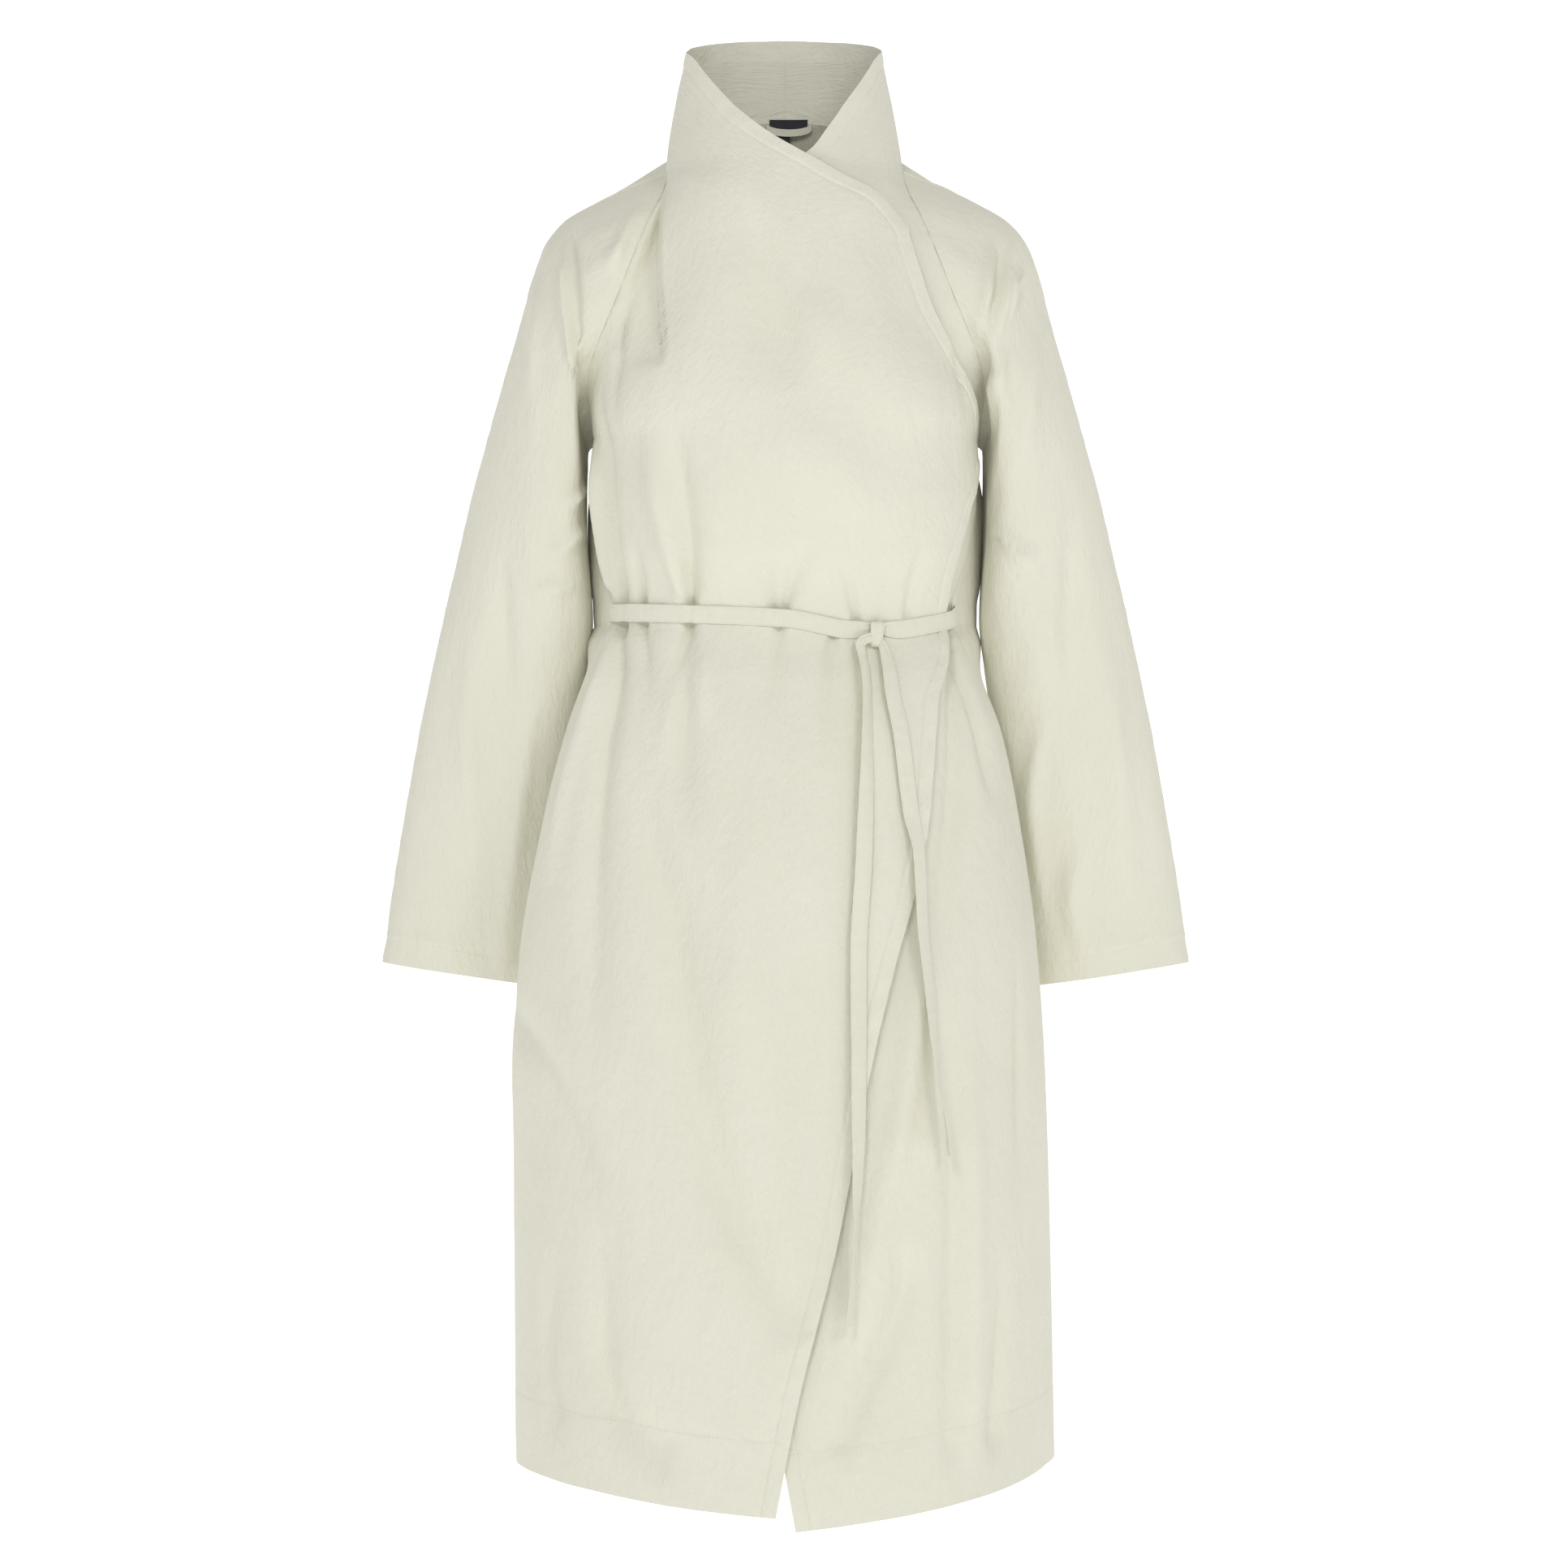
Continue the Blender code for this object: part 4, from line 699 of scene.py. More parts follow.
def frontCloth(side):
    # Grid of one front with its folds, its distances from seam, edge and hem, and its UV.
    inner, outer = frontOutline(side)
    steps = fronts["seamSteps"], fronts["edgeSteps"]
    across = spreadAcross(inner, outer, frontPlace, *steps, fronts["columns"])
    rounds = inner[:, :1] + (outer[:, :1] - inner[:, :1]) * across
    heights = inner[:, 1:] + (outer[:, 1:] - inner[:, 1:]) * across
    hem = rowCurve(frontHem, across[0], 1 if side == right else 2)
    fade = np.clip(1 - lengthsAlong(inner[:, 1:])[:, None] / 0.45, 0, 1) ** 1.5
    heights = heights + (hem - heights[0])[None] * fade
    lift = coat["layerLift"] * eased(rounds / coat["liftRamp"])
    if side == left:
        rounds, lift = 2 - rounds, -lift
    form = frontPlace(rounds, heights)
    normals = directions(form) * -side
    fromSeam = lengthsAlong(form, axis=1)
    fromEdge = fromSeam[:, -1:] - fromSeam
    fromHem = lengthsAlong(form)
    fromCollarSeam = fromHem[-1:] - fromHem
    guide = frontPlace(np.linspace(0.02, 1.98, 260)[None, :], np.linspace(-1.11, 0.06, 420)[:, None])
    creases = waistCreases + (outerCreases if side == right else underCreases)
    rise = creaseRise(form, normals, creases, guide, seenFromFront, fronts["gain"], fronts["narrow"])
    uv = np.stack([fromSeam * side, fromHem], axis=-1)
    rise += hangingWaves(form[..., 0], form[..., 2], fronts["waves"], 11)
    rise *= eased(fromSeam / 0.030) * eased(fromCollarSeam / 0.02)
    pressed = eased((np.abs(form[..., 2] + dip(form[..., 0], heights) - coat["tieZ"]) - 0.006) / 0.012)
    rise = np.where(rise > 0, rise * pressed, rise)
    rise += 0.00018 * (1 - eased((fromHem - fronts["hem"] + 0.0006) / 0.0012))
    rise += stitchLine(fromHem, fronts["hem"], fromSeam, 22, 0.2)
    edging = 0.0005 * (1 - eased((fromEdge - fronts["facing"] + 0.0006) / 0.0012))
    edging += stitchLine(fromEdge, fronts["facing"], fromHem, 21, 0.75)
    rise += edging * eased((np.minimum(rounds, 2 - rounds) + 0.12) / 0.12)
    onFacing = np.exp(-(((fromEdge - 0.006) / 0.0075) ** 4))
    rise += 0.00075 * softNoise(fromHem + 0.7 * fromEdge, fromEdge, 0.0058, 0.016, 23) * onFacing
    rise += 0.0005 * softNoise(fromHem, fromEdge, 0.021, 0.03, 26) * bell(fromEdge, 0.012)
    rise += 0.0005 * softNoise(fromSeam, fromHem, 0.028, 0.05, 24) * bell(fromHem, 0.030)
    rise -= 0.0004 * bell(fromSeam, 0.0012) + 0.0004 * bell(fromCollarSeam, 0.0012)
    onArmhole = inner[:, 1:] > coat["underarmZ"]
    rise += np.where(onArmhole, stitchLine(fromSeam, 0.0030, fromHem, 25, 0.2), 0)
    points = form + normals * (rise + lift)[..., None]
    fromSide = np.minimum(rounds, 2 - rounds)
    points[..., 1] += np.where(fromSide > 0, chestStep(points[..., 0], heights) * eased(fromSide / 0.08), 0)
    return {"points": points, "uv": uv, "inner": inner}


def threadsOn(points, outsideIn, row=None, column=None, start=0, stop=None, inside=False):
    # A line of the grid for stitches to follow, with its outward directions and half the cloth.
    facing = directions(points) * (-1 if outsideIn else 1)
    place = (slice(start, stop), column) if row is None else (row, slice(start, stop))
    path, outward = points[place], facing[place]
    return path, -outward if inside else outward, coat["cloth"] / 2


def dressFront(side, name):
    made = frontCloth(side)
    piece = shell(name, made["points"], made["uv"], outsideIn=side == left)
    edgeColumn = -1 - fronts["edgeSteps"].index(0.0125)
    hemRow = fronts["hemSteps"].index(0.060)
    armRow = int(np.argmax(made["inner"][:, 1] > coat["underarmZ"] + 0.004))
    neckRow = len(made["inner"]) - fronts["neckSideRows"] - fronts["neckBackRows"]
    turned = side == left
    lines = [
        threadsOn(made["points"], turned, column=edgeColumn, stop=neckRow),
        threadsOn(made["points"], turned, column=edgeColumn, stop=armRow, inside=True),
        threadsOn(made["points"], turned, row=hemRow),
        threadsOn(made["points"], turned, column=3, start=armRow, stop=neckRow),
    ]
    thread = stitches("stitches_" + name, lines)
    return piece, thread


rightFront, rightFrontThread = dressFront(right, "front_right_cloth")
leftFront, leftFrontThread = dressFront(left, "front_left_cloth")
print("fronts made")

# The back.
back = {
    "columns": 132,
    "seamSteps": (0, 0.0006, 0.0014, 0.0026, 0.0042, 0.0064),
    "skirtRows": 112,
    "bandRows": 6,
    "blouseRows": 38,
    "armholeRows": 60,
    "waves": 0.8,
}
# Creases of the back, placed in the same x. They hang from the shoulder blades and the waist.
backCreases = (
    (((-62, -110, 0, 14), (-78, -300, -6, 16), (-88, -420, -5, 17), (-96, -540, 0, 20)), 1.2, 1.8),
    (((58, -90, 0, 14), (70, -280, -6.5, 17), (80, -400, -6, 18), (92, -520, 0, 20)), 1.3, 1.8),
    (((-118, -310, -2, 12), (-124, -420, -7, 14), (-130, -520, -7, 16), (-150, -720, 0, 20)), 1.2, 1.8),
    (((112, -300, -2, 12), (122, -410, -6, 14), (130, -520, -7, 17), (152, -760, 0, 20)), 1.3, 1.8),
    (((-34, -330, 0, 16), (-40, -560, -6, 20), (-50, -800, -5, 23), (-58, -1060, -3, 24)), 1.4, 1.8),
    (((20, -300, 0, 18), (30, -560, 6, 24), (36, -820, 5, 26), (40, -1060, 3, 28)), 1.0, 2),
    (((78, -470, 0, 16), (92, -740, -7, 22), (100, -900, -6, 23), (106, -1060, -4, 24)), 1.3, 1.8),
    (((-100, -590, 0, 16), (-112, -800, -6, 20), (-118, -940, -5, 21), (-122, -1060, -4, 22)), 1.2, 1.8),
    (((150, -820, 0, 14), (160, -940, -4, 16), (164, -1060, -3, 16)), 1.0, 2),
    (((-168, -700, 0, 14), (-176, -860, -4, 16), (-178, -1040, -3, 16)), 1.0, 2),
    (((-90, -60, 0, 10), (-110, -120, -3, 12), (-132, -190, 0, 14)), 1.3, 1.8),
    (((84, -70, 0, 10), (108, -130, -2.5, 12), (134, -205, 0, 14)), 1.2, 1.8),
    (((-40, -30, 0, 20), (0, -52, -1.5, 22), (40, -34, 0, 20)), 1.0, 2),
    (((-130, -250, 0, 10), (-96, -276, -2.5, 12), (-60, -290, 0, 14)), 1.0, 2),
    (((134, -262, 0, 10), (100, -292, -2.2, 12), (60, -300, 0, 14)), 1.0, 2),
)


def backNeckLine(count):
    shares = np.linspace(coat["backNeckShare"], 1, count)
    behind = frontPlace(-shares, neckHeight(shares))
    return np.concatenate([behind, behind[-2::-1] * (-1, 1, 1)])


def backArmholeLine(side, rows):
    top = backNeckLine(2)[0] * (-1, 1, 1)
    curve = denseCurve(backArmhole + (tuple(top),))
    return stopsOn(curve, np.linspace(0, lengthsAlong(curve)[-1], rows + 1)) * (side, 1, 1)


def backCloth():
    # A row for each height, its ends drawn to the raglan seams and the top rows to the neck seam.
    tieLow, tieTop = coat["tieZ"] - coat["tieHalf"], coat["tieZ"] + coat["tieHalf"]
    skirtStops = bodyStops(coat["sideHemZ"], tieLow, back["skirtRows"], fronts["hemSteps"])
    heights = np.r_[
        coat["sideHemZ"] + skirtStops,
        np.linspace(tieLow, tieTop, back["bandRows"] + 1)[1:],
        np.linspace(tieTop, coat["underarmZ"], back["blouseRows"] + 1)[1:],
    ]
    below = len(heights)
    seams = {side: backArmholeLine(side, back["armholeRows"]) for side in (right, left)}
    heights = np.r_[heights, seams[right][1:, 2]]
    ends = np.stack([0 * heights, heights], axis=1)
    steps = back["seamSteps"], back["seamSteps"]
    across = spreadAcross(ends, ends + (2, 0), backPlace, *steps, back["columns"]) * 2
    fade = np.clip(1 - (heights - coat["sideHemZ"]) / 0.69, 0, 1)[:, None]
    levels = heights[:, None] - coat["backHemDrop"] * np.sin(across * math.pi / 2) ** 2 * fade
    form = backPlace(across, levels)
    neckDense = backNeckLine(200)
    neckShare = lengthsAlong(form[-1]) / lengthsAlong(form[-1])[-1]
    neck = stopsOn(neckDense, neckShare * lengthsAlong(neckDense)[-1])
    share = np.clip((np.arange(len(heights)) - below + 1) / back["armholeRows"], 0, 1)[:, None, None]
    form = form + (neck - form[-1])[None] * share**2
    for side, end in ((right, 0), (left, -1)):
        shift = seams[side][1:] - form[below:, end]
        near = (1 - np.abs(across[below:] - (0 if side == right else 2))).clip(0, 1)
        form[below:] += shift[:, None, :] * near[..., None] ** 2
    form[-1] = neck
    normals = -directions(form)
    fromRight, fromHem = lengthsAlong(form, axis=1), lengthsAlong(form)
    fromSeam = np.minimum(fromRight, fromRight[:, -1:] - fromRight)
    fromNeck = fromHem[-1:] - fromHem
    rise = creaseRise(form, normals, backCreases, form, seenFromBack, 0.5)
    rise += hangingWaves(fromRight, fromHem, back["waves"], 31)
    rise *= eased(fromSeam / 0.030) * eased(fromNeck / 0.02)
    rise += 0.00035 * (1 - eased((fromHem - fronts["hem"] + 0.0006) / 0.0012))
    rise += stitchLine(fromHem, fronts["hem"], fromRight, 32)
    rise += 0.0005 * softNoise(fromRight, fromHem, 0.028, 0.05, 34) * bell(fromHem, 0.030)
    rise -= 0.0004 * bell(fromSeam, 0.0012) + 0.0004 * bell(fromNeck, 0.0012)
    onArmhole = heights[:, None] > coat["underarmZ"]
    rise += np.where(onArmhole, stitchLine(fromSeam, 0.0030, fromHem, 35, 0.2), 0)
    points = form + normals * rise[..., None]
    return points, np.stack([fromRight, fromHem], axis=-1), below


backPoints, backUv, belowRows = backCloth()
backPiece = shell("back_cloth", backPoints, backUv, outsideIn=True)
backThread = stitches(
    "stitches_back",
    [
        threadsOn(backPoints, True, row=fronts["hemSteps"].index(0.060)),
        threadsOn(backPoints, True, column=3, start=belowRows),
        threadsOn(backPoints, True, column=-4, start=belowRows),
        threadsOn(backPoints, True, row=-4, start=3, stop=-3),
    ],
)
print("back made")

# The sleeves.
sleeves = {
    "columns": 84,
    "rows": 190,
    "blend": 0.30,  # share of the sleeve over which the raglan seam's own shape fades out
    "seamSteps": (0, 0.0006, 0.0014, 0.0026, 0.0042, 0.0064),
    "hem": 0.024,
    "length": 0.735,  # along the sleeve's middle
    "rowStep": 0.0037,
    "firstSteps": (0.0006, 0.0008, 0.0012, 0.0016, 0.0022),  # row to row from the raglan seam
    "hemArea": 0.034,  # where the cuff's own rows begin
    "hemSteps": (0.0300, 0.0275, 0.0254, 0.024, 0.0226, 0.0205, 0.0180),  # distance from the cuff
    "lastSteps": (0.012, 0.006, 0.0018, 0.0006, 0),
    "waves": 1.3,
    "gain": 1.5,
    "narrow": 0.8,
}
# Creases of the sleeves' front halves as the photograph shows them, and of their back halves in the
# same x, z. From the top down: x, z, rise, width.
rightSleeveCreases = (
    (
        ((-179, -40, 0, 6), (-178, -70, 4, 8), (-177, -106, 5, 8), (-174, -145, 4, 7), (-167, -185, 0, 6)),
        2.2,
        1.6,
    ),
    (((-186, -56, 0, 6), (-184, -100, -5, 7), (-181, -150, -4, 7), (-175, -200, 0, 8)), 0.6, 1.6),
    (((-121, -30, 0, 6), (-136, -68, -4, 8), (-150, -86, 0, 8)), 1.2, 1.7),
    (((-206, -90, 0, 9), (-208, -150, -3, 11), (-214, -230, 0, 13)), 1.2, 1.8),
    (((-164, -262, 0, 5), (-176, -278, -2, 6), (-192, -286, 0, 8)), 1.0, 1.8),
    (((-163, -300, 0, 5), (-180, -312, -2.5, 7), (-205, -330, 0, 9)), 1.0, 1.8),
    (((-168, -340, 0, 6), (-190, -352, -2, 8), (-216, -352, 0, 10)), 1.0, 1.8),
    (((-238, -300, 0, 12), (-236, -400, 3, 15), (-232, -520, 0, 16)), 1.0, 2),
    (((-262, -360, 0, 12), (-266, -480, -3, 14), (-262, -600, 0, 15)), 1.2, 1.9),
    (((-210, -440, 0, 9), (-224, -540, -3, 12), (-236, -660, -1, 13)), 1.0, 1.9),
)
leftSleeveCreases = (
    (((174, -60, 0, 5), (168, -100, -4.5, 6), (158, -140, 0, 5)), 1.3, 1.6),
    (((188, -55, 0, 6), (182, -105, -5, 7), (174, -150, 0, 6)), 1.4, 1.6),
    (((199, -84, 0, 6), (190, -99, -4, 6), (188, -128, 0, 6)), 1.2, 1.7),
    (((186, -150, 0, 6), (176, -184, -5, 7), (172, -235, 0, 7)), 1.3, 1.6),
    (((181, -62, 0, 5), (176, -105, 3, 6), (168, -140, 0, 5)), 1.0, 2),
    (((214, -120, 0, 10), (204, -190, -3, 12), (196, -260, 0, 13)), 1.2, 1.8),
    (((170, -300, 0, 6), (190, -318, -2.2, 8), (214, -330, 0, 10)), 1.0, 1.8),
    (((236, -260, 0, 12), (240, -380, 3, 15), (244, -500, 0, 16)), 1.0, 2),
    (((268, -380, 0, 12), (276, -500, -3, 14), (286, -620, 0, 15)), 1.2, 1.9),
    (((216, -450, 0, 8), (206, -520, -4, 10), (214, -590, -2, 11), (222, -640, 0, 11)), 1.0, 1.8),
    (((246, -560, 0, 10), (240, -610, -2.5, 11), (246, -655, -1, 11)), 1.0, 1.9),
)
backSleeveCreases = (
    (((150, -40, 0, 10), (168, -90, -4, 12), (176, -150, 0, 12)), 1.2, 1.8),
    (((196, -70, 0, 10), (190, -140, -5, 12), (184, -230, 0, 13)), 1.3, 1.8),
    (((176, -270, 0, 7), (198, -300, -3, 9), (226, -310, 0, 11)), 1.0, 1.8),
    (((178, -345, 0, 7), (204, -362, -3, 10), (238, -350, 0, 11)), 1.0, 1.8),
    (((180, -400, 0, 8), (210, -420, -2.5, 10), (248, -418, 0, 12)), 1.0, 1.8),
    (((244, -300, 0, 12), (258, -420, -3.5, 15), (270, -560, 0, 16)), 1.2, 1.9),
    (((220, -480, 0, 10), (238, -580, 3, 14), (250, -670, 1, 15)), 1.0, 2),
    (((212, -540, 0, 8), (222, -620, -2.5, 11), (232, -680, -1, 12)), 1.0, 2),
)


def ringPlace(along, turn, side):
    # A ring between the overarm and the underarm lines: an ellipse whose turn is 0 at the underarm.
    along, turn = np.broadcast_arrays(along, turn)
    knots = np.linspace(0, 1, len(sleeveRings))
    overX, overZ, underX, underZ, middleY, halfDepth, nearer = [
        tableCurve(along, knots, [row[k] for row in sleeveRings]) for k in range(7)
    ]
    underX = underX - (nearer if side == right else 0)
    share = (1 - np.cos(turn * 2 * math.pi)) / 2
    x, z = underX + (overX - underX) * share, underZ + (overZ - underZ) * share
    return np.stack([side * x, middleY - halfDepth * np.sin(turn * 2 * math.pi), z], axis=-1)


def raglanLine(side, face):
    # The raglan seam from the underarm to the neck point, by the front or by the back.
    if face < 0:
        line = denseCurve(frontArmhole, 400)
        x, y = sidePoint(line[:, 2], side, -1)
        return np.stack([side * x, y, line[:, 2]], axis=1)
    shares = np.linspace(0, coat["backNeckShare"], 60)
    neck = frontPlace(-shares, neckHeight(shares)) * (-side, 1, 1)
    return np.concatenate([backArmholeLine(side, 300), neck[-2::-1]])


def sleeveCloth(side, face):
    # Half a sleeve: rows are rings from the raglan seam to the cuff, columns run to the overarm.
    line = raglanLine(side, face)
    lengths = lengthsAlong(line)
    steps = np.r_[0, np.cumsum(np.r_[sleeves["firstSteps"], np.full(sleeves["rows"], sleeves["rowStep"])])]
    total = sleeves["length"]
    steps = steps[steps < total - sleeves["hemArea"]]
    along = np.r_[steps / total, 1 - np.array(sleeves["hemSteps"] + sleeves["lastSteps"]) / total]
    seamShares = np.r_[sleeves["seamSteps"]] / lengths[-1]
    even = np.linspace(seamShares[-1], 1 - seamShares[-1], sleeves["columns"] - 2 * len(seamShares) + 3)[1:-1]
    columns = np.r_[seamShares, even, 1 - seamShares[::-1]]
    seam = stopsOn(line, columns * lengths[-1], lengths)
    turn = (columns * 0.5 if face < 0 else 1 - columns * 0.5)[None, :]
    form = ringPlace(along[:, None], turn, side)
    own = seam - ringPlace(0.0, turn, side)[0]
    form = form + own[None] * (1 - eased(along / sleeves["blend"]))[:, None, None]
    normals = directions(form) * side * -face
    aroundIn, fromRaglan = lengthsAlong(form, axis=1), lengthsAlong(form)
    fromSeam = np.minimum(aroundIn, aroundIn[:, -1:] - aroundIn)
    fromCuff = fromRaglan[-1:] - fromRaglan
    if face < 0:
        creases = rightSleeveCreases if side == right else leftSleeveCreases
        rise = creaseRise(form, normals, creases, form, seenFromFront, sleeves["gain"], sleeves["narrow"])
    else:
        creases = [
            ([(x * side, z, up, wide) for x, z, up, wide in knots], skew, sharp)
            for knots, skew, sharp in backSleeveCreases
        ]
        rise = creaseRise(form, normals, creases, form, seenFromBack)
    rise += hangingWaves(aroundIn, fromRaglan, sleeves["waves"], 51 + side + face * 3)
    rise *= eased(fromSeam / 0.022) * eased(fromRaglan / 0.014)
    rise += 0.00035 * (1 - eased((fromCuff - sleeves["hem"] + 0.0006) / 0.0012))
    rise += stitchLine(fromCuff, sleeves["hem"], aroundIn, 61 + side, 0.6)
    puckers = 0.0011 * softNoise(aroundIn, fromCuff, 0.012, 0.05, 64 + side)
    rise += puckers * bell(fromCuff - sleeves["hem"], 0.012)
    rise -= 0.0004 * bell(fromSeam, 0.0012) + 0.0004 * bell(fromRaglan, 0.0012)
    rise += stitchLine(aroundIn[:, -1:] - aroundIn, 0.0042, fromRaglan, 66, 0.25)
    return form + normals * rise[..., None], np.stack([aroundIn, fromRaglan], axis=-1), len(along)


def dressSleeve(side, face, name):
    points, uv, rows = sleeveCloth(side, face)
    turned = side * face > 0
    piece = shell(name, points, uv, outsideIn=not turned)
    hemRow = rows - len(sleeves["lastSteps"]) - 4
    lines = [threadsOn(points, not turned, row=hemRow), threadsOn(points, not turned, column=-5, start=2)]
    return piece, stitches("stitches_" + name, lines)


sleevePieces = {}
for side, word in ((right, "right"), (left, "left")):
    for face, half in ((-1, "front"), (1, "back")):
        sleevePieces[f"sleeve_{half}_{word}"] = dressSleeve(side, face, f"sleeve_{half}_{word}_cloth")
print("sleeves made")

# The tie: two bands sewn into the side seams, the knot, and two hanging ends.
tie = {
    "width": 0.0145,
    "thick": 0.0009,
    "offCloth": 0.0014,  # from the outer front's middle to the tie's middle
    "margin": 0.012,  # share of a quarter section that the tie stops short of the side seam
    "knotX": 0.072,
    "knotRise": 0.0045,  # how far the bands climb to the knot's upper half
    "stitchIn": 0.0018,
    "pinches": (  # where the band is squeezed: x as seen, how much, how wide
        (-0.137, 0.9, 0.0022),
        (-0.119, 0.45, 0.0016),
        (-0.080, 0.9, 0.0022),
        (-0.066, 0.3, 0.0015),
        (-0.012, 0.35, 0.0018),
        (-0.003, 0.4, 0.0015),
        (0.126, 0.5, 0.0018),
    ),
}
# Hanging ends: x, z, turn in degrees (0 faces forward, 90 stands on edge), distance from the outer
# front's face, width, and how far the band's middle stands out of its edges.
longEnd = (
    (0.0715, -0.3950, 0, 0.0040, 0.0070, 0.0010),
    (0.0660, -0.3962, 4, 0.0050, 0.0078, 0.0012),
    (0.0605, -0.3985, 10, 0.0058, 0.0086, 0.0016),
    (0.0580, -0.4040, 22, 0.0062, 0.0098, 0.0020),
    (0.0592, -0.4120, 34, 0.0064, 0.0112, 0.0020),
    (0.0622, -0.4260, 44, 0.0066, 0.0128, 0.0016),
    (0.0640, -0.4450, 50, 0.0070, 0.0140, 0.0008),
    (0.0637, -0.4880, 40, 0.0073, 0.0145, 0.0004),
    (0.0610, -0.5770, 10, 0.0068, 0.0145, 0.0003),
    (0.0570, -0.6550, 15, 0.0063, 0.0145, 0.0003),
    (0.0570, -0.7330, 25, 0.0068, 0.0145, 0.0003),
    (0.0567, -0.7930, 35, 0.0080, 0.0145, 0.0003),
    (0.0555, -0.8405, 48, 0.0085, 0.0145, 0.0003),
    (0.0534, -0.8764, 76, 0.0090, 0.0145, 0.0003),
    (0.0525, -0.9089, 66, 0.0088, 0.0145, 0.0003),
    (0.0500, -0.9486, 52, 0.0085, 0.0145, 0.0000),
)
shortEnd = (
    (0.0735, -0.3970, 0, 0.0034, 0.0060, 0.0008),
    (0.0760, -0.4040, 4, 0.0046, 0.0078, 0.0010),
    (0.0788, -0.4120, 10, 0.0050, 0.0100, 0.0010),
    (0.0815, -0.4230, 14, 0.0050, 0.0125, 0.0008),
    (0.0845, -0.4440, 16, 0.0048, 0.0145, 0.0005),
    (0.0904, -0.4722, 12, 0.0042, 0.0145, 0.0003),
    (0.0988, -0.5377, 10, 0.0038, 0.0145, 0.0003),
    (0.1045, -0.5700, 26, 0.0055, 0.0145, 0.0003),
    (0.1072, -0.6292, 30, 0.0060, 0.0145, 0.0003),
    (0.1116, -0.6780, 34, 0.0072, 0.0145, 0.0003),
    (0.1150, -0.7205, 46, 0.0083, 0.0145, 0.0003),
    (0.1194, -0.7596, 58, 0.0090, 0.0145, 0.0003),
    (0.1240, -0.7935, 68, 0.0095, 0.0145, 0.0003),
    (0.1262, -0.8150, 74, 0.0095, 0.0145, 0.0000),
)
# The wrap of the knot, from behind its top over its front to behind its bottom: to the left of the
# knot's middle, up, out of the tie's face, width.
knotWrap = (
    (0.0012, 0.0030, -0.0004, 0.0100),
    (0.0010, 0.0078, 0.0000, 0.0112),
    (0.0008, 0.0098, 0.0022, 0.0120),
    (0.0004, 0.0082, 0.0044, 0.0124),
    (-0.0002, 0.0030, 0.0054, 0.0120),
    (-0.0010, -0.0040, 0.0052, 0.0104),
    (-0.0018, -0.0088, 0.0044, 0.0084),
    (-0.0020, -0.0100, 0.0020, 0.0076),
    (-0.0020, -0.0080, 0.0004, 0.0080),
)


def unit(vectors):
    return vectors / np.maximum(np.linalg.norm(vectors, axis=-1, keepdims=True), 1e-12)


def carried(name, middle, across, outward, width, thick, relief=None, cup=0.0, halves=22):
    # A flat rounded profile carried along a path: across it runs from edge to edge, and its two
    # faces stand half the thickness out and in, less towards the edges, plus the relief.
    share = np.sin(np.linspace(-math.pi / 2, math.pi / 2, halves))
    height = np.sqrt(np.clip(1 - np.abs(share) ** 16, 0, 1))
    place = np.r_[share, share[-2:0:-1]][None, :]
    face = np.r_[height, -height[-2:0:-1]][None, :]
    width, cup = np.reshape(width, (-1, 1)), np.reshape(cup, (-1, 1))
    middleRise = cup * (1 - place**2) + (0 if relief is None else relief(place))
    offset = face * thick / 2 + middleRise
    sideways, upward = (place * width / 2)[..., None], offset[..., None]
    points = middle[:, None] + across[:, None] * sideways + outward[:, None] * upward
    rows, ring = points.shape[:2]
    at = np.arange(rows * ring).reshape(rows, ring)
    turned = np.roll(at, -1, axis=1)
    sides = np.stack([at[:-1], turned[:-1], turned[1:], at[1:]], axis=-1).reshape(-1, 4)
    upper = np.arange(halves - 1)
    lower = (ring - np.arange(halves)) % ring
    cap = np.stack([upper, lower[:-1], lower[1:], upper + 1], axis=-1)[1:-1]
    ends = np.concatenate([cap, (cap + (rows - 1) * ring)[:, ::-1]])
    along = lengthsAlong(middle)[:, None] + 0 * place
    uv = np.stack([along, place * width / 2 + 0 * along], axis=-1).reshape(-1, 2)
    faces = np.concatenate([sides, ends])
    triangles = [(0, 1, ring - 1), (halves - 1, halves, halves - 2)]
    last = (rows - 1) * ring
    triangles += [tuple(last + k for k in corner[::-1]) for corner in triangles[:2]]
    return setBand(name, points.reshape(-1, 3), faces, triangles, uv), points


def setBand(name, corners, faces, triangles, uv):
    mesh = bpy.data.meshes.new(name)
    mesh.from_pydata(corners.tolist(), [], faces.tolist() + triangles)
    mesh.validate()
    loops = np.empty(len(mesh.loops), np.int32)
    mesh.loops.foreach_get("vertex_index", loops)
    mesh.uv_layers.new(name="cloth").data.foreach_set("uv", uv[loops].astype(np.float32).ravel())
    mesh.shade_smooth()
    mesh.set_sharp_from_angle(angle=math.radians(60))
    piece = bpy.data.objects.new(name, mesh)
    bpy.context.scene.collection.objects.link(piece)
    return piece


def undipped(x, z):
    height = z
    for _ in range(12):
        height = (height + z + dip(x, height)) / 2
    return height


def outOfFront(rounds, heights):
    small = 0.004
    byRound = frontPlace(rounds + small, heights) - frontPlace(rounds - small, heights)
    byHeight = frontPlace(rounds, heights + small) - frontPlace(rounds, heights - small)
    return unit(np.cross(byRound, byHeight))


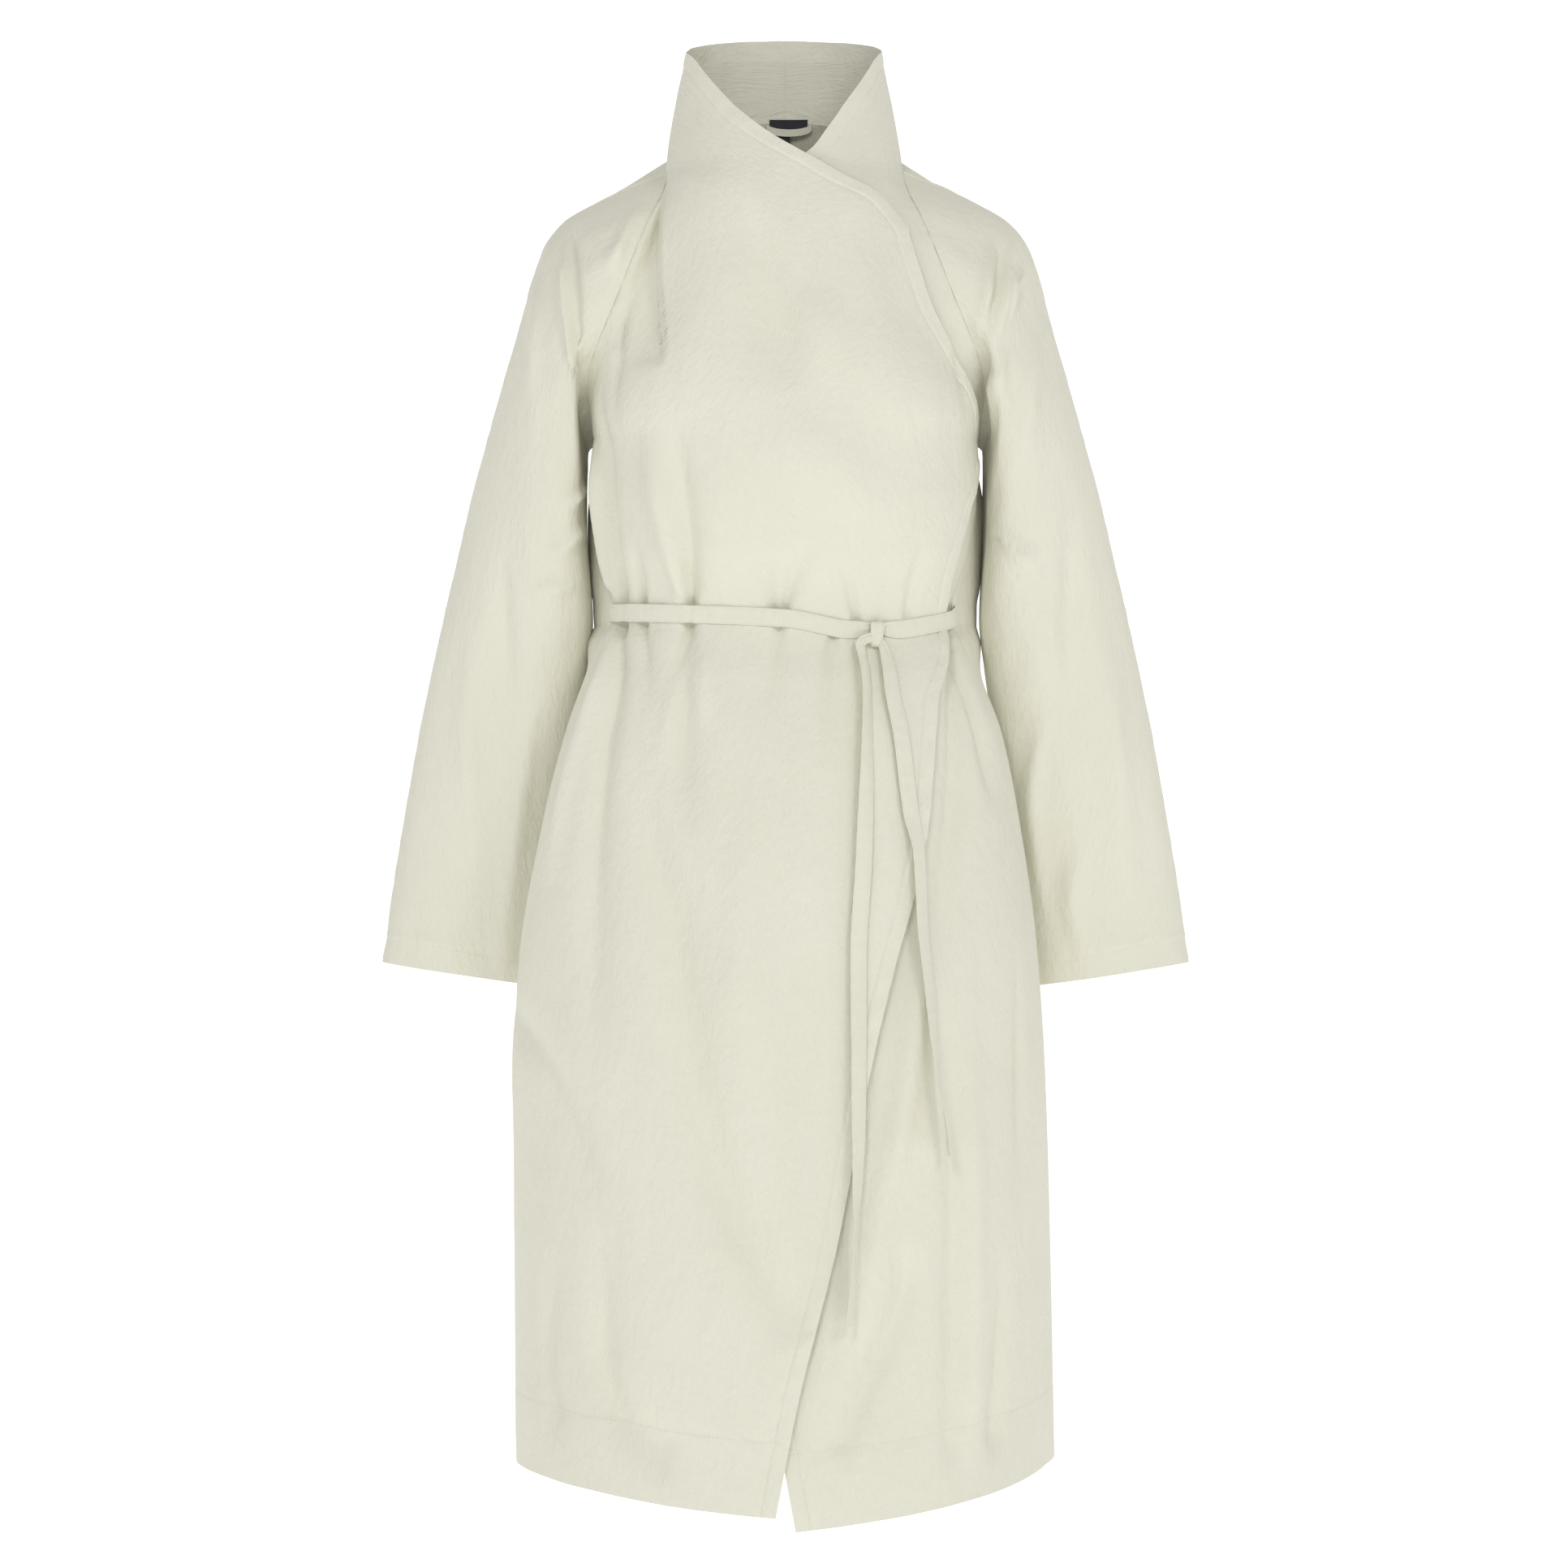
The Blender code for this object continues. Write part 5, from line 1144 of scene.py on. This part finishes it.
shares = np.linspace(1.0, 1.9, 300)
knotRound = float(np.interp(tie["knotX"], frontPlace(shares, coat["tieZ"])[:, 0], shares))
knotPoint = frontPlace(knotRound, coat["tieZ"])
knotOut = outOfFront(np.array(knotRound), np.array(coat["tieZ"]))
knotSide = unit(np.cross(knotOut, (0.0, 0.0, -1.0)))
knotUp = np.cross(knotSide, knotOut) * -1
if knotUp[2] < 0:
    knotUp = -knotUp
knotSide = knotSide * np.sign(knotSide[0])


def tieBand(name, firstRound, lastRound, count):
    # The band's middle follows the pressed waist, climbs to the knot, and narrows into it.
    rounds = np.linspace(firstRound, lastRound, count)
    heights = np.full(count, coat["tieZ"])
    fromSide = np.minimum(rounds, 2 - rounds)
    outward = outOfFront(rounds, heights)
    lift = coat["layerLift"] * eased(fromSide / coat["liftRamp"]) + tie["offCloth"]
    middle = frontPlace(rounds, heights) + outward * lift[:, None]
    toKnot = np.linalg.norm(middle - (knotPoint + knotOut * lift[-1]), axis=1)
    middle[:, 2] += tie["knotRise"] * bell(toKnot, 0.020)
    near = bell(toKnot, 0.011)
    width = tie["width"] * (1 - 0.42 * near)
    along = unit(np.gradient(middle, axis=0))
    across = unit(np.cross(outward, along))
    seenX = seenFromFront(middle)[:, 0]
    pinch = np.zeros(count)
    for at, depth, wide in tie["pinches"]:
        pinch += depth * bell(seenX - at, wide)
    width = width * (1 - 0.055 * pinch)

    def relief(place):
        run = lengthsAlong(middle)[:, None]
        edge = width[:, None] / 2 * (1 - np.abs(place))
        rise = -0.00022 * bell(edge - tie["stitchIn"], 0.0009)
        rise = rise - 0.00075 * pinch[:, None] * (1 - 0.4 * place**2)
        rise += 0.00030 * softNoise(run, place * 0.007, 0.0046, 0.010, 71) * (1 - 0.3 * place**2)
        rise += 0.00022 * softNoise(run, place * 0.007, 0.011, 0.006, 72)
        gather = np.cos(place * 7.5 + 0.6 * np.sin(run * 260)) * 0.0008 * near[:, None]
        return rise + gather + near[:, None] * 0.0010

    piece, points = carried(name, middle, across, outward, width, tie["thick"], relief)
    return piece, points, outward


def bandThread(name, made, spots=(4, 17)):
    # Topstitching near both edges of a band, on the face that looks outward.
    lines = []
    for points, outward, start, stop, flip in made:
        for spot in spots:
            lines.append((points[start:stop, spot], outward[start:stop] * (-1 if flip else 1), 0.0))
    return stitches(name, lines, pitch=0.0029, length=0.0021, thick=0.0003)


tieRight, tieRightPoints, tieRightOut = tieBand("tie_right_band", tie["margin"], knotRound - 0.004, 420)
tieLeft, tieLeftPoints, tieLeftOut = tieBand("tie_left_band", 2 - tie["margin"], knotRound + 0.004, 200)
tieRightThread = bandThread("stitches_tie_right", [(tieRightPoints, tieRightOut, 2, -14, False)])
tieLeftThread = bandThread("stitches_tie_left", [(tieLeftPoints, tieLeftOut, 2, -14, False)])


def hangingEnd(name, rows, seed):
    # The band follows the skirt at its own distance and turns about its path as it falls.
    table = denseCurve(np.array(rows) * (1, 1, 1e-3, 1, 1, 1), 460)
    x, z, turn, off, width, cup = table.T
    z = undipped(x, z)
    rounds = roundAt(x, z)
    outward = outOfFront(rounds, z)
    middle = frontPlace(rounds, z) + outward * (coat["layerLift"] + 0.0006 + off)[:, None]
    run = lengthsAlong(middle)
    turn = np.radians(turn * 1000 + 5 * softNoise(run, 0 * run, 0.07, 1, seed))
    along = unit(np.gradient(middle, axis=0))
    level = unit(np.cross(outward, along))
    square = unit(np.cross(along, level))
    square = square * np.sign((square * outward).sum(axis=1, keepdims=True))
    across = level * np.cos(turn)[:, None] - square * np.sin(turn)[:, None]
    facing = level * np.sin(turn)[:, None] + square * np.cos(turn)[:, None]

    def relief(place):
        edge = width[:, None] / 2 * (1 - np.abs(place))
        rise = -0.00022 * bell(edge - tie["stitchIn"], 0.0009)
        rise += 0.00022 * softNoise(run[:, None], place * 0.007, 0.006, 0.010, seed + 1)
        broad = softNoise(run[:, None], place * 0.007, 0.045, 0.012, seed + 2)
        rise += 0.00050 * broad * (1 - place**2 * 0.5)
        near = bell(run, 0.014)[:, None]
        return rise + np.cos(place * 6.5 + run[:, None] * 90) * 0.0006 * near

    piece, points = carried(name, middle, across, facing, width, tie["thick"], relief, cup)
    return piece, points, facing


endLong, endLongPoints, endLongOut = hangingEnd("tie_end_long_band", longEnd, 81)
endShort, endShortPoints, endShortOut = hangingEnd("tie_end_short_band", shortEnd, 91)
endLongThread = bandThread("stitches_end_long", [(endLongPoints, endLongOut, 40, -4, False)])
endShortThread = bandThread("stitches_end_short", [(endShortPoints, endShortOut, 30, -4, False)])


def wrapOfKnot(name):
    # The knot's wrap: a band bent over the two ties, from behind their top to behind their bottom.
    table = denseCurve(knotWrap, 90)
    base = knotPoint + knotOut * (coat["layerLift"] + tie["offCloth"] + tie["thick"] / 2)
    middle = base + knotSide * table[:, :1] + knotUp * table[:, 1:2] + knotOut * table[:, 2:3]
    along = unit(np.gradient(middle, axis=0))
    square = unit(np.cross(along, knotSide[None]))
    square = square * np.sign((square * (middle - base - knotOut * 0.002)).sum(axis=1, keepdims=True))
    across = unit(np.cross(along, square))
    run = lengthsAlong(middle)[:, None]

    def relief(place):
        rise = -0.0016 * np.abs(place) ** 3 + 0 * run
        gathers = 0.00035 * np.cos(place * 6.0 + 1.1 + run * 70)
        return rise + (gathers + 0.0003 * softNoise(run, place * 0.006, 0.006, 0.003, 76))

    return carried(name, middle, across, square, table[:, 3], 0.0012, relief, halves=26)[0]


knot = wrapOfKnot("tie_knot_wrap")
print("tie and knot made")

# Loop, label and tab inside the back neck.
neckParts = {
    "labelTop": 0.0520, "labelX": 0.0025, "labelWidth": 0.0325, "labelHeight": 0.0070,
    "tabTop": 0.0446, "tabX": -0.0015, "tabWidth": 0.0105, "tabHeight": 0.0138,
    "loopX": (-0.0160, 0.0220), "loopZ": (0.0500, 0.0435), "loopWidth": 0.0062, "loopAhead": 0.0024,
    "thick": 0.0005,
}


def insideNeck(x, z, ahead):
    # Inside the back neck seam, in front of the collar's inner face.
    share = np.arccos(np.clip(x / sidePoint(coat["neckBackZ"], left, -1)[0], -1, 1)) * 2 / math.pi
    point = frontPlace(2 + share, np.full(np.shape(share), coat["neckBackZ"]))
    point[..., 1] -= 0.0012 + ahead
    point[..., 2] = z
    return point


def flatTape(name, rows, columns, place, seed):
    # A small woven tape: a thin sheet with slightly raised selvedges.
    down, across = np.linspace(0, 1, rows)[:, None], np.linspace(0, 1, columns)[None, :]
    points = place(across, down)
    uv = np.stack([lengthsAlong(points, axis=1), lengthsAlong(points)], axis=-1)
    away = 0.00012 * bell(np.minimum(down, 1 - down), 0.09)
    points[..., 1] -= away + 0.0001 * softNoise(uv[..., 0], uv[..., 1], 0.005, 0.003, seed)
    keep, coat["cloth"] = coat["cloth"], neckParts["thick"]
    piece = shell(name, points, uv, outsideIn=False)
    coat["cloth"] = keep
    return piece


def labelPlace(across, down):
    x = neckParts["labelX"] + neckParts["labelWidth"] * (across - 0.5) + 0 * down
    z = neckParts["labelTop"] - (neckParts["labelHeight"] + 0.0012 * (1 - (2 * across - 1) ** 2)) * down
    return insideNeck(x, z, 0.0)


def tabPlace(across, down):
    x = neckParts["tabX"] + neckParts["tabWidth"] * (across - 0.5) + 0 * down
    z = neckParts["tabTop"] - neckParts["tabHeight"] * down + 0 * across
    return insideNeck(x, z, 0.0004 * down**2)


def loopPlace(down, across):
    (firstX, lastX), (endZ, lowZ) = neckParts["loopX"], neckParts["loopZ"]
    x = firstX + (lastX - firstX) * (1 - np.cos(across * math.pi)) / 2
    bow = np.sin(across * math.pi)
    z = endZ + (lowZ - endZ) * bow**0.8
    x, z = np.broadcast_arrays(x, z - down * neckParts["loopWidth"])
    return insideNeck(x, z, neckParts["loopAhead"] * bow + 0 * x)


label = flatTape("neck_label_tape", 14, 60, labelPlace, 41)
tab = flatTape("size_tab_tape", 24, 22, tabPlace, 42)
loop = flatTape("hanger_loop_tape", 9, 90, lambda a, d: loopPlace(d, a), 43)
print("neck pieces made")


# Materials: a plain weave, its slight unevenness, and dark woven tape.
def newGroup(name, inputs, outputs):
    group = bpy.data.node_groups.new(name, "ShaderNodeTree")
    for title, kind, value in inputs:
        socket = group.interface.new_socket(title, in_out="INPUT", socket_type=kind)
        if value is not None:
            socket.default_value = value
    for title, kind in outputs:
        group.interface.new_socket(title, in_out="OUTPUT", socket_type=kind)
    return group, group.nodes.new("NodeGroupInput"), group.nodes.new("NodeGroupOutput")


def mathNode(tree, operation, first, second=None, third=None):
    node = tree.nodes.new("ShaderNodeMath")
    node.operation = operation
    for slot, value in enumerate((first, second, third)):
        if value is None:
            continue
        if isinstance(value, (int, float)):
            node.inputs[slot].default_value = value
        else:
            tree.links.new(value, node.inputs[slot])
    return node.outputs[0]


def noiseNode(tree, vector, scale, detail=2.0, roughness=0.5):
    node = tree.nodes.new("ShaderNodeTexNoise")
    node.inputs["Scale"].default_value = scale
    node.inputs["Detail"].default_value = detail
    node.inputs["Roughness"].default_value = roughness
    tree.links.new(vector, node.inputs["Vector"])
    return node.outputs["Fac"]


def stretched(tree, vector, scale):
    node = tree.nodes.new("ShaderNodeVectorMath")
    node.operation = "MULTIPLY"
    node.inputs[1].default_value = scale
    tree.links.new(vector, node.inputs[0])
    return node.outputs["Vector"]


def weaveGroup():
    # Plain weave on cloth coordinates in metres: warp and weft threads as two sine rows that pass
    # over each other by turns, with slubs, which are threads a little thicker for a short way.
    number, vector = "NodeSocketFloat", "NodeSocketVector"
    inputs = (("Cloth", vector, None), ("Threads per mm", number, 2.4), ("Slub", number, 0.34))
    group, begin, end = newGroup("plainWeave", inputs, (("Height", number), ("Tone", number)))
    split = group.nodes.new("ShaderNodeSeparateXYZ")
    wobble = stretched(group, begin.outputs["Cloth"], (420.0, 420.0, 1.0))
    centred = mathNode(group, "SUBTRACT", noiseNode(group, wobble, 1.0, 1.0), 0.5)
    shift = mathNode(group, "MULTIPLY", centred, 0.0006)
    group.links.new(begin.outputs["Cloth"], split.inputs[0])
    turns = mathNode(group, "MULTIPLY", begin.outputs["Threads per mm"], 1000 * math.pi)
    threads = []
    for axis in "XY":
        wavy = mathNode(group, "ADD", split.outputs[axis], shift)
        threads.append(mathNode(group, "SINE", mathNode(group, "MULTIPLY", wavy, turns)))
    warp, weft = threads
    crossing = mathNode(group, "MULTIPLY", warp, weft)
    ridges = mathNode(group, "ADD", mathNode(group, "ABSOLUTE", warp), mathNode(group, "ABSOLUTE", weft))
    weave = mathNode(group, "MULTIPLY_ADD", crossing, 0.35, mathNode(group, "MULTIPLY", ridges, 0.35))
    across = noiseNode(group, stretched(group, begin.outputs["Cloth"], (60.0, 1400.0, 1.0)), 1.0, 2.0, 0.6)
    down = noiseNode(group, stretched(group, begin.outputs["Cloth"], (1500.0, 70.0, 1.0)), 1.0, 2.0, 0.6)
    both = mathNode(group, "ADD", across, mathNode(group, "MULTIPLY", down, 0.8))
    slubs = mathNode(group, "MULTIPLY", both, begin.outputs["Slub"])
    group.links.new(mathNode(group, "MULTIPLY_ADD", weave, 0.30, slubs), end.inputs["Height"])
    tone = mathNode(group, "MULTIPLY_ADD", slubs, 0.8, mathNode(group, "MULTIPLY", weave, 0.12))
    group.links.new(tone, end.inputs["Tone"])
    return group


def unevenGroup():
    # Soft unevenness: broad pale and dull areas, and fine handling marks that run along the cloth.
    inputs = (("Cloth", "NodeSocketVector", None), ("Object", "NodeSocketVector", None))
    outputs = (("Tone", "NodeSocketFloat"), ("Marks", "NodeSocketFloat"))
    group, begin, end = newGroup("clothUnevenness", inputs, outputs)
    broad = noiseNode(group, begin.outputs["Object"], 7.0, 3.0, 0.55)
    marks = noiseNode(group, stretched(group, begin.outputs["Object"], (34.0, 34.0, 13.0)), 1.0, 4.0, 0.55)
    fine = noiseNode(group, stretched(group, begin.outputs["Cloth"], (150.0, 90.0, 1.0)), 1.0, 3.0, 0.6)
    group.links.new(broad, end.inputs["Tone"])
    group.links.new(mathNode(group, "MULTIPLY_ADD", fine, 0.35, marks), end.inputs["Marks"])
    return group


# Base colours at their palest and dullest, roughness, sheen, threads per millimetre.
finishTable = (
    ("coat", (0.792, 0.780, 0.670, 1), (0.742, 0.727, 0.612, 1), 0.88, 0.10, 2.3),
    ("tie", (0.786, 0.774, 0.662, 1), (0.736, 0.720, 0.604, 1), 0.86, 0.10, 2.3),
    # The thread's colours are darker than the cloth's: painted shade for the shadow in its stitch grooves.
    ("thread", (0.700, 0.680, 0.570, 1), (0.620, 0.600, 0.490, 1), 0.70, 0.0, 3.0),
    ("label", (0.030, 0.033, 0.042, 1), (0.012, 0.013, 0.018, 1), 0.62, 0.25, 3.2),
)
finishColumns = ("pale", "dull", "roughness", "sheen", "threads")
finishes = {row[0]: dict(zip(finishColumns, row[1:])) for row in finishTable}


def clothMaterial(name, finish, bump=1.0):
    material = bpy.data.materials.new(name)
    material.use_nodes = True
    tree = material.node_tree
    shader = tree.nodes["Principled BSDF"]
    uvMap = tree.nodes.new("ShaderNodeUVMap")
    uvMap.uv_map = "cloth"
    coordinates = tree.nodes.new("ShaderNodeTexCoord")
    weave, uneven = tree.nodes.new("ShaderNodeGroup"), tree.nodes.new("ShaderNodeGroup")
    weave.node_tree, uneven.node_tree = weaveShader, unevenShader
    weave.inputs["Threads per mm"].default_value = finish["threads"]
    tree.links.new(uvMap.outputs["UV"], weave.inputs["Cloth"])
    tree.links.new(uvMap.outputs["UV"], uneven.inputs["Cloth"])
    tree.links.new(coordinates.outputs["Object"], uneven.inputs["Object"])
    areas = mathNode(tree, "MULTIPLY", uneven.outputs["Tone"], 0.45)
    tone = mathNode(tree, "MULTIPLY_ADD", weave.outputs["Tone"], 0.55, areas)
    ramp = tree.nodes.new("ShaderNodeValToRGB")
    ramp.color_ramp.elements[0].position, ramp.color_ramp.elements[0].color = 0.28, finish["dull"]
    ramp.color_ramp.elements[1].position, ramp.color_ramp.elements[1].color = 0.72, finish["pale"]
    tree.links.new(tone, ramp.inputs["Fac"])
    tree.links.new(ramp.outputs["Color"], shader.inputs["Base Color"])
    rough = mathNode(tree, "MULTIPLY_ADD", weave.outputs["Tone"], -0.10, finish["roughness"] + 0.05)
    tree.links.new(rough, shader.inputs["Roughness"])
    shader.inputs["Metallic"].default_value = 0.0
    shader.inputs["Specular IOR Level"].default_value = 0.25
    shader.inputs["Sheen Weight"].default_value = finish["sheen"]
    shader.inputs["Sheen Roughness"].default_value = 0.6
    fine, broad = tree.nodes.new("ShaderNodeBump"), tree.nodes.new("ShaderNodeBump")
    broad.inputs["Distance"].default_value = 0.0045 * bump
    broad.inputs["Strength"].default_value = 0.7
    fine.inputs["Distance"].default_value = 0.00012
    fine.inputs["Strength"].default_value = 0.55
    tree.links.new(uneven.outputs["Marks"], broad.inputs["Height"])
    tree.links.new(weave.outputs["Height"], fine.inputs["Height"])
    tree.links.new(broad.outputs["Normal"], fine.inputs["Normal"])
    tree.links.new(fine.outputs["Normal"], shader.inputs["Normal"])
    return material


weaveShader, unevenShader = weaveGroup(), unevenGroup()
coatMaterial = clothMaterial("paleStoneCloth", finishes["coat"])
tieMaterial = clothMaterial("paleStoneTie", finishes["tie"], 0.6)
labelMaterial = clothMaterial("darkWovenTape", finishes["label"], 0.1)


def threadPaintedShadeMaterialOf(finish):
    # Sewing thread: the cloth's pale stone colour darkened, a painted shade for the shadow in the stitch
    # grooves, with a fine twist along object coordinates.
    material = bpy.data.materials.new("sewingThreadPaintedShade")
    material.use_nodes = True
    tree = material.node_tree
    shader = tree.nodes["Principled BSDF"]
    coordinates = tree.nodes.new("ShaderNodeTexCoord")
    twist = noiseNode(tree, coordinates.outputs["Object"], 2600.0, 1.0)
    ramp = tree.nodes.new("ShaderNodeValToRGB")
    ramp.color_ramp.elements[0].position, ramp.color_ramp.elements[0].color = 0.3, finish["dull"]
    ramp.color_ramp.elements[1].position, ramp.color_ramp.elements[1].color = 0.7, finish["pale"]
    tree.links.new(twist, ramp.inputs["Fac"])
    tree.links.new(ramp.outputs["Color"], shader.inputs["Base Color"])
    shader.inputs["Roughness"].default_value = finish["roughness"]
    shader.inputs["Metallic"].default_value = 0.0
    bump = tree.nodes.new("ShaderNodeBump")
    bump.inputs["Distance"].default_value = 0.00005
    tree.links.new(twist, bump.inputs["Height"])
    tree.links.new(bump.outputs["Normal"], shader.inputs["Normal"])
    return material


threadPaintedShadeMaterial = threadPaintedShadeMaterialOf(finishes["thread"])
print("materials made")


# Each piece and its threads get their material and hang from the root body; the frame's nodes they stand for
# are hidden.
def settle(piece, nodes, slot, material, threads=(), trims=(), **cut):
    parts = (piece,) + tuple(threads)
    for part in parts:
        part.data.materials.append(material if part is piece else threadPaintedShadeMaterial)
        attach(part, "root")
        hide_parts(*nodes)


settle(
    rightFront, ("front_right",), "coat_cloth", coatMaterial, (rightFrontThread,),
    flat=(0.62, 1.42), area=0.55, held="hung", rests_on=["front_left_cloth", "back_cloth"],
)
settle(
    leftFront, ("front_left",), "coat_cloth", coatMaterial, (leftFrontThread,),
    flat=(0.62, 1.43), area=0.55, held="hung", rests_on=["back_cloth", "sleeve_front_left_cloth"],
)
settle(
    backPiece, ("back",), "coat_cloth", coatMaterial, (backThread,), (loop, label, tab),
    flat=(0.62, 1.20), area=0.62, held="hung", rests_on=["sleeve_back_right_cloth", "sleeve_back_left_cloth"],
)
for nodeName, (piece, thread) in sleevePieces.items():
    beside = "front_right_cloth" if "right" in nodeName else "front_left_cloth"
    settle(
        piece, (nodeName,), "coat_cloth", coatMaterial, (thread,),
        flat=(0.27, 0.76), area=0.14, held="hung", rests_on=[beside],
    )
settle(
    tieRight, ("tie_right",), "tie_cloth", tieMaterial, (tieRightThread,),
    flat=(0.0145, 0.27), held="stretched", rests_on=["front_right_cloth"],
)
settle(
    tieLeft, ("tie_left",), "tie_cloth", tieMaterial, (tieLeftThread,),
    flat=(0.0145, 0.10), held="stretched", rests_on=["front_right_cloth"],
)
settle(
    endLong, ("tie_end_long",), "tie_cloth", tieMaterial, (endLongThread,),
    flat=(0.0145, 0.58), held="hung", rests_on=["tie_knot_wrap"],
)
settle(
    endShort, ("tie_end_short",), "tie_cloth", tieMaterial, (endShortThread,),
    flat=(0.0145, 0.44), held="hung", rests_on=["tie_knot_wrap"],
)
settle(
    knot, ("tie_knot",), "tie_cloth", tieMaterial,
    flat=(0.0145, 0.036), held="stretched", rests_on=["tie_right_band"],
)
settle(loop, ("hanger_loop",), "tie_cloth", tieMaterial)
settle(label, ("neck_label",), "label_weave", labelMaterial)
settle(tab, ("size_tab",), "label_weave", labelMaterial)
print("pieces settled")

# Floor, light and camera.
studio = {
    "floorZ": -1.45,
    "floorSize": 9.0,
    "skyStrength": 0.48,
    "keyPower": 19.0,
    "fillPower": 22.0,
}


def makeFloor():
    # A sheet that is level in front and bends up behind: height is a quarter circle, then straight.
    across = np.linspace(-1, 1, 2)[None, :] * studio["floorSize"]
    run = np.linspace(0, 1, 40)[:, None]
    length = run * 16.0
    bend, radius = 7.0, 2.5
    angle = np.clip((length - bend) / radius, 0, math.pi / 2)
    beyond = np.clip(length - bend - radius * math.pi / 2, 0, None)
    y = -5.0 + np.minimum(length, bend) + radius * np.sin(angle)
    z = studio["floorZ"] + radius * (1 - np.cos(angle)) + beyond
    points = np.stack(np.broadcast_arrays(across, y, z), axis=-1)
    rows, columns = points.shape[:2]
    at = np.arange(rows * columns).reshape(rows, columns)
    floor = setMesh("studio_floor", points.reshape(-1, 3), gridFaces(at))
    material = bpy.data.materials.new("paleFloor")
    material.use_nodes = True
    shader = material.node_tree.nodes["Principled BSDF"]
    shader.inputs["Base Color"].default_value = (0.92, 0.92, 0.915, 1)
    shader.inputs["Roughness"].default_value = 0.9
    shader.inputs["Emission Color"].default_value = (1, 1, 1, 1)
    shader.inputs["Emission Strength"].default_value = 0.55
    floor.data.materials.append(material)


def softLight(name, place, target, size, power, colour):
    light = bpy.data.lights.new(name, "AREA")
    light.shape, light.size, light.energy, light.color = "DISK", size, power, colour
    holder = bpy.data.objects.new(name, light)
    holder.location = place
    aim = np.array(target) - np.array(place)
    flat = math.hypot(aim[0], aim[1])
    holder.rotation_euler = (math.atan2(flat, -aim[2]), 0, math.atan2(aim[1], aim[0]) - math.pi / 2)
    bpy.context.scene.collection.objects.link(holder)


makeFloor()
softLight("keyLight", (1.7, -2.9, 1.3), (0, 0, -0.50), 1.0, studio["keyPower"], (1.0, 0.99, 0.97))
softLight("fillLight", (-0.7, -3.1, 1.2), (0, 0, -0.45), 0.8, studio["fillPower"], (0.99, 0.995, 1.0))
world = bpy.data.worlds.new("studioSky")
world.use_nodes = True
world.node_tree.nodes["Background"].inputs["Color"].default_value = (1, 1, 1, 1)
world.node_tree.nodes["Background"].inputs["Strength"].default_value = studio["skyStrength"]
bpy.context.scene.world = world
bpy.context.scene.view_settings.view_transform = "Standard"

lens = bpy.data.cameras.new("photoCamera")
lens.sensor_width = 36
lens.lens = 36 * camera["distance"] / camera["frameWidth"]
lens.clip_end = 60
photoCamera = bpy.data.objects.new("photoCamera", lens)
photoCamera.location = (camera["x"], -camera["distance"], camera["z"])
photoCamera.rotation_euler = (math.pi / 2, 0, 0)
bpy.context.scene.collection.objects.link(photoCamera)
bpy.context.scene.camera = photoCamera
print("camera and light set")
